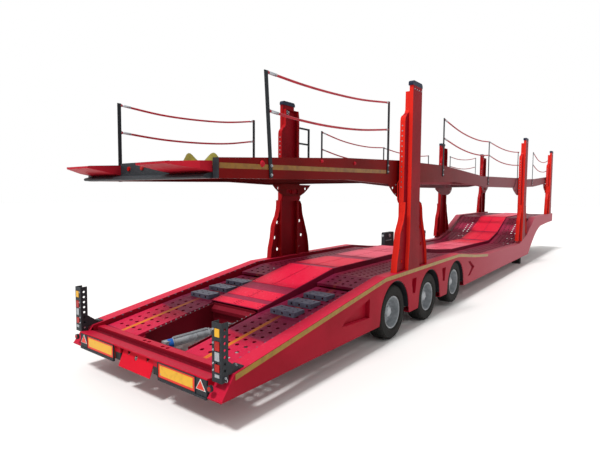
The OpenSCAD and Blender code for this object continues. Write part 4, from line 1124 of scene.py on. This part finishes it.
def add_webbing_heap():
    """A folded net of webbing that lies in two crowns on the wheel track."""
    net, crown, fold = HEAP_Z
    builder = bmesh.new()
    rows = []
    for i in range(HEAP_STEPS[0] + 1):
        u = i / HEAP_STEPS[0]
        row = []
        for j in range(HEAP_STEPS[1] + 1):
            v = j / HEAP_STEPS[1]
            x = HEAP_X[0] + (HEAP_X[1] - HEAP_X[0]) * u
            y = HEAP_Y[0] + (HEAP_Y[1] - HEAP_Y[0]) * v
            edge = min(1, 5 * min(u, 1 - u)) * min(1, 5 * min(v, 1 - v))
            crowns = sum(height * math.exp(-((u - a) / da) ** 2 - ((v - b) / db) ** 2)
                for a, b, da, db, height in CROWNS)
            folds = 0.5 + 0.5 * math.sin(19 * u + 6 * v + 2 * math.sin(9 * v))
            base = HEAP_BASE + HEAP_RISE * (x - HEAP_X[0])
            row.append(place(x, y, base + edge * (net + crown * crowns + fold * folds * (0.3 + crowns))))
        rows.append(row)
    add_strip(builder, rows)
    heap = piece("webbing_heap", builder, strap_cloth, "rope", "rear_platform", True)


add_webbing_heap()
add_beam_bolts()

# Valve block

# Start and end, its faces' distances from the side frame's outer face, top, levers as above
VALVE_X = (10.15, 10.56)
VALVE_IN = (0.12, 0.02)
VALVE_TOP = 1.04
VALVE_LEVERS = (3, 0.09, 0.11)


def add_valves():
    """Valve block with its lever knobs on the left side frame, ahead of the control box."""
    start, end = VALVE_X
    inner, outer = (HALF_WIDTH - depth for depth in VALVE_IN)
    base = min(top_at("side_frame_left", x, inner) for x in VALVE_X)
    builder = bmesh.new()
    add_box(builder, place(start, inner, base - 0.002), place(end, outer, VALVE_TOP), bevel=0.008)
    count, first, pitch = VALVE_LEVERS
    for i in range(count):
        x = start + first + i * pitch
        add_rod(builder, place(x, inner + 0.002, VALVE_TOP - 0.07), place(x, inner - 0.05, VALVE_TOP - 0.05),
            0.007, 10)
    piece("valve_block", builder, charcoal, "charcoal_paint")


add_valves()

# Floor and light

FLOOR_HALF = 90
SKY_STRENGTH = 0.6
SUN_STRENGTH = 2.7
SUN_SPREAD = math.radians(9)
SUN_RAYS = Vector((0.55, -0.04, -1.0))


def add_stage():
    """A pale floor under soft daylight that comes from above the tail."""
    builder = bmesh.new()
    bmesh.ops.create_grid(builder, x_segments=1, y_segments=1, size=FLOOR_HALF)
    floor = bpy.data.objects.new("floor", finish_mesh("floor", builder))
    bpy.context.scene.collection.objects.link(floor)
    material, _, shader, _ = new_material("pale_floor")
    shader.inputs["Base Color"].default_value = linear("#f0efed")
    shader.inputs["Roughness"].default_value = 0.9
    floor.data.materials.append(material)
    world = bpy.data.worlds.new("daylight")
    bpy.context.scene.world = world
    world.use_nodes = True
    tree = world.node_tree
    tree.nodes.clear()
    rays = add(tree, "LightPath").outputs
    seen = add(tree, "Math", links={0: rays["Is Camera Ray"], 1: rays["Is Transmission Ray"]},
        operation="MAXIMUM")
    seen = add(tree, "Math", links={0: seen.outputs[0], 1: rays["Is Glossy Ray"]}, operation="MAXIMUM")
    soft = add(tree, "Background", {"Color": (1, 1, 1, 1), "Strength": SKY_STRENGTH})
    white = add(tree, "Background", {"Color": (1, 1, 1, 1), "Strength": 1.0})
    both = add(tree, "MixShader", links={0: seen.outputs[0], 1: soft.outputs[0], 2: white.outputs[0]})
    add(tree, "OutputWorld", links={"Surface": both.outputs[0]})
    sun = bpy.data.lights.new("sun", "SUN")
    sun.energy = SUN_STRENGTH
    sun.angle = SUN_SPREAD
    lamp = bpy.data.objects.new("sun", sun)
    lamp.rotation_mode = "QUATERNION"
    lamp.rotation_quaternion = SUN_RAYS.to_track_quat("-Z", "Y")
    bpy.context.scene.collection.objects.link(lamp)
    bpy.context.scene.view_settings.view_transform = "Standard"


add_stage()
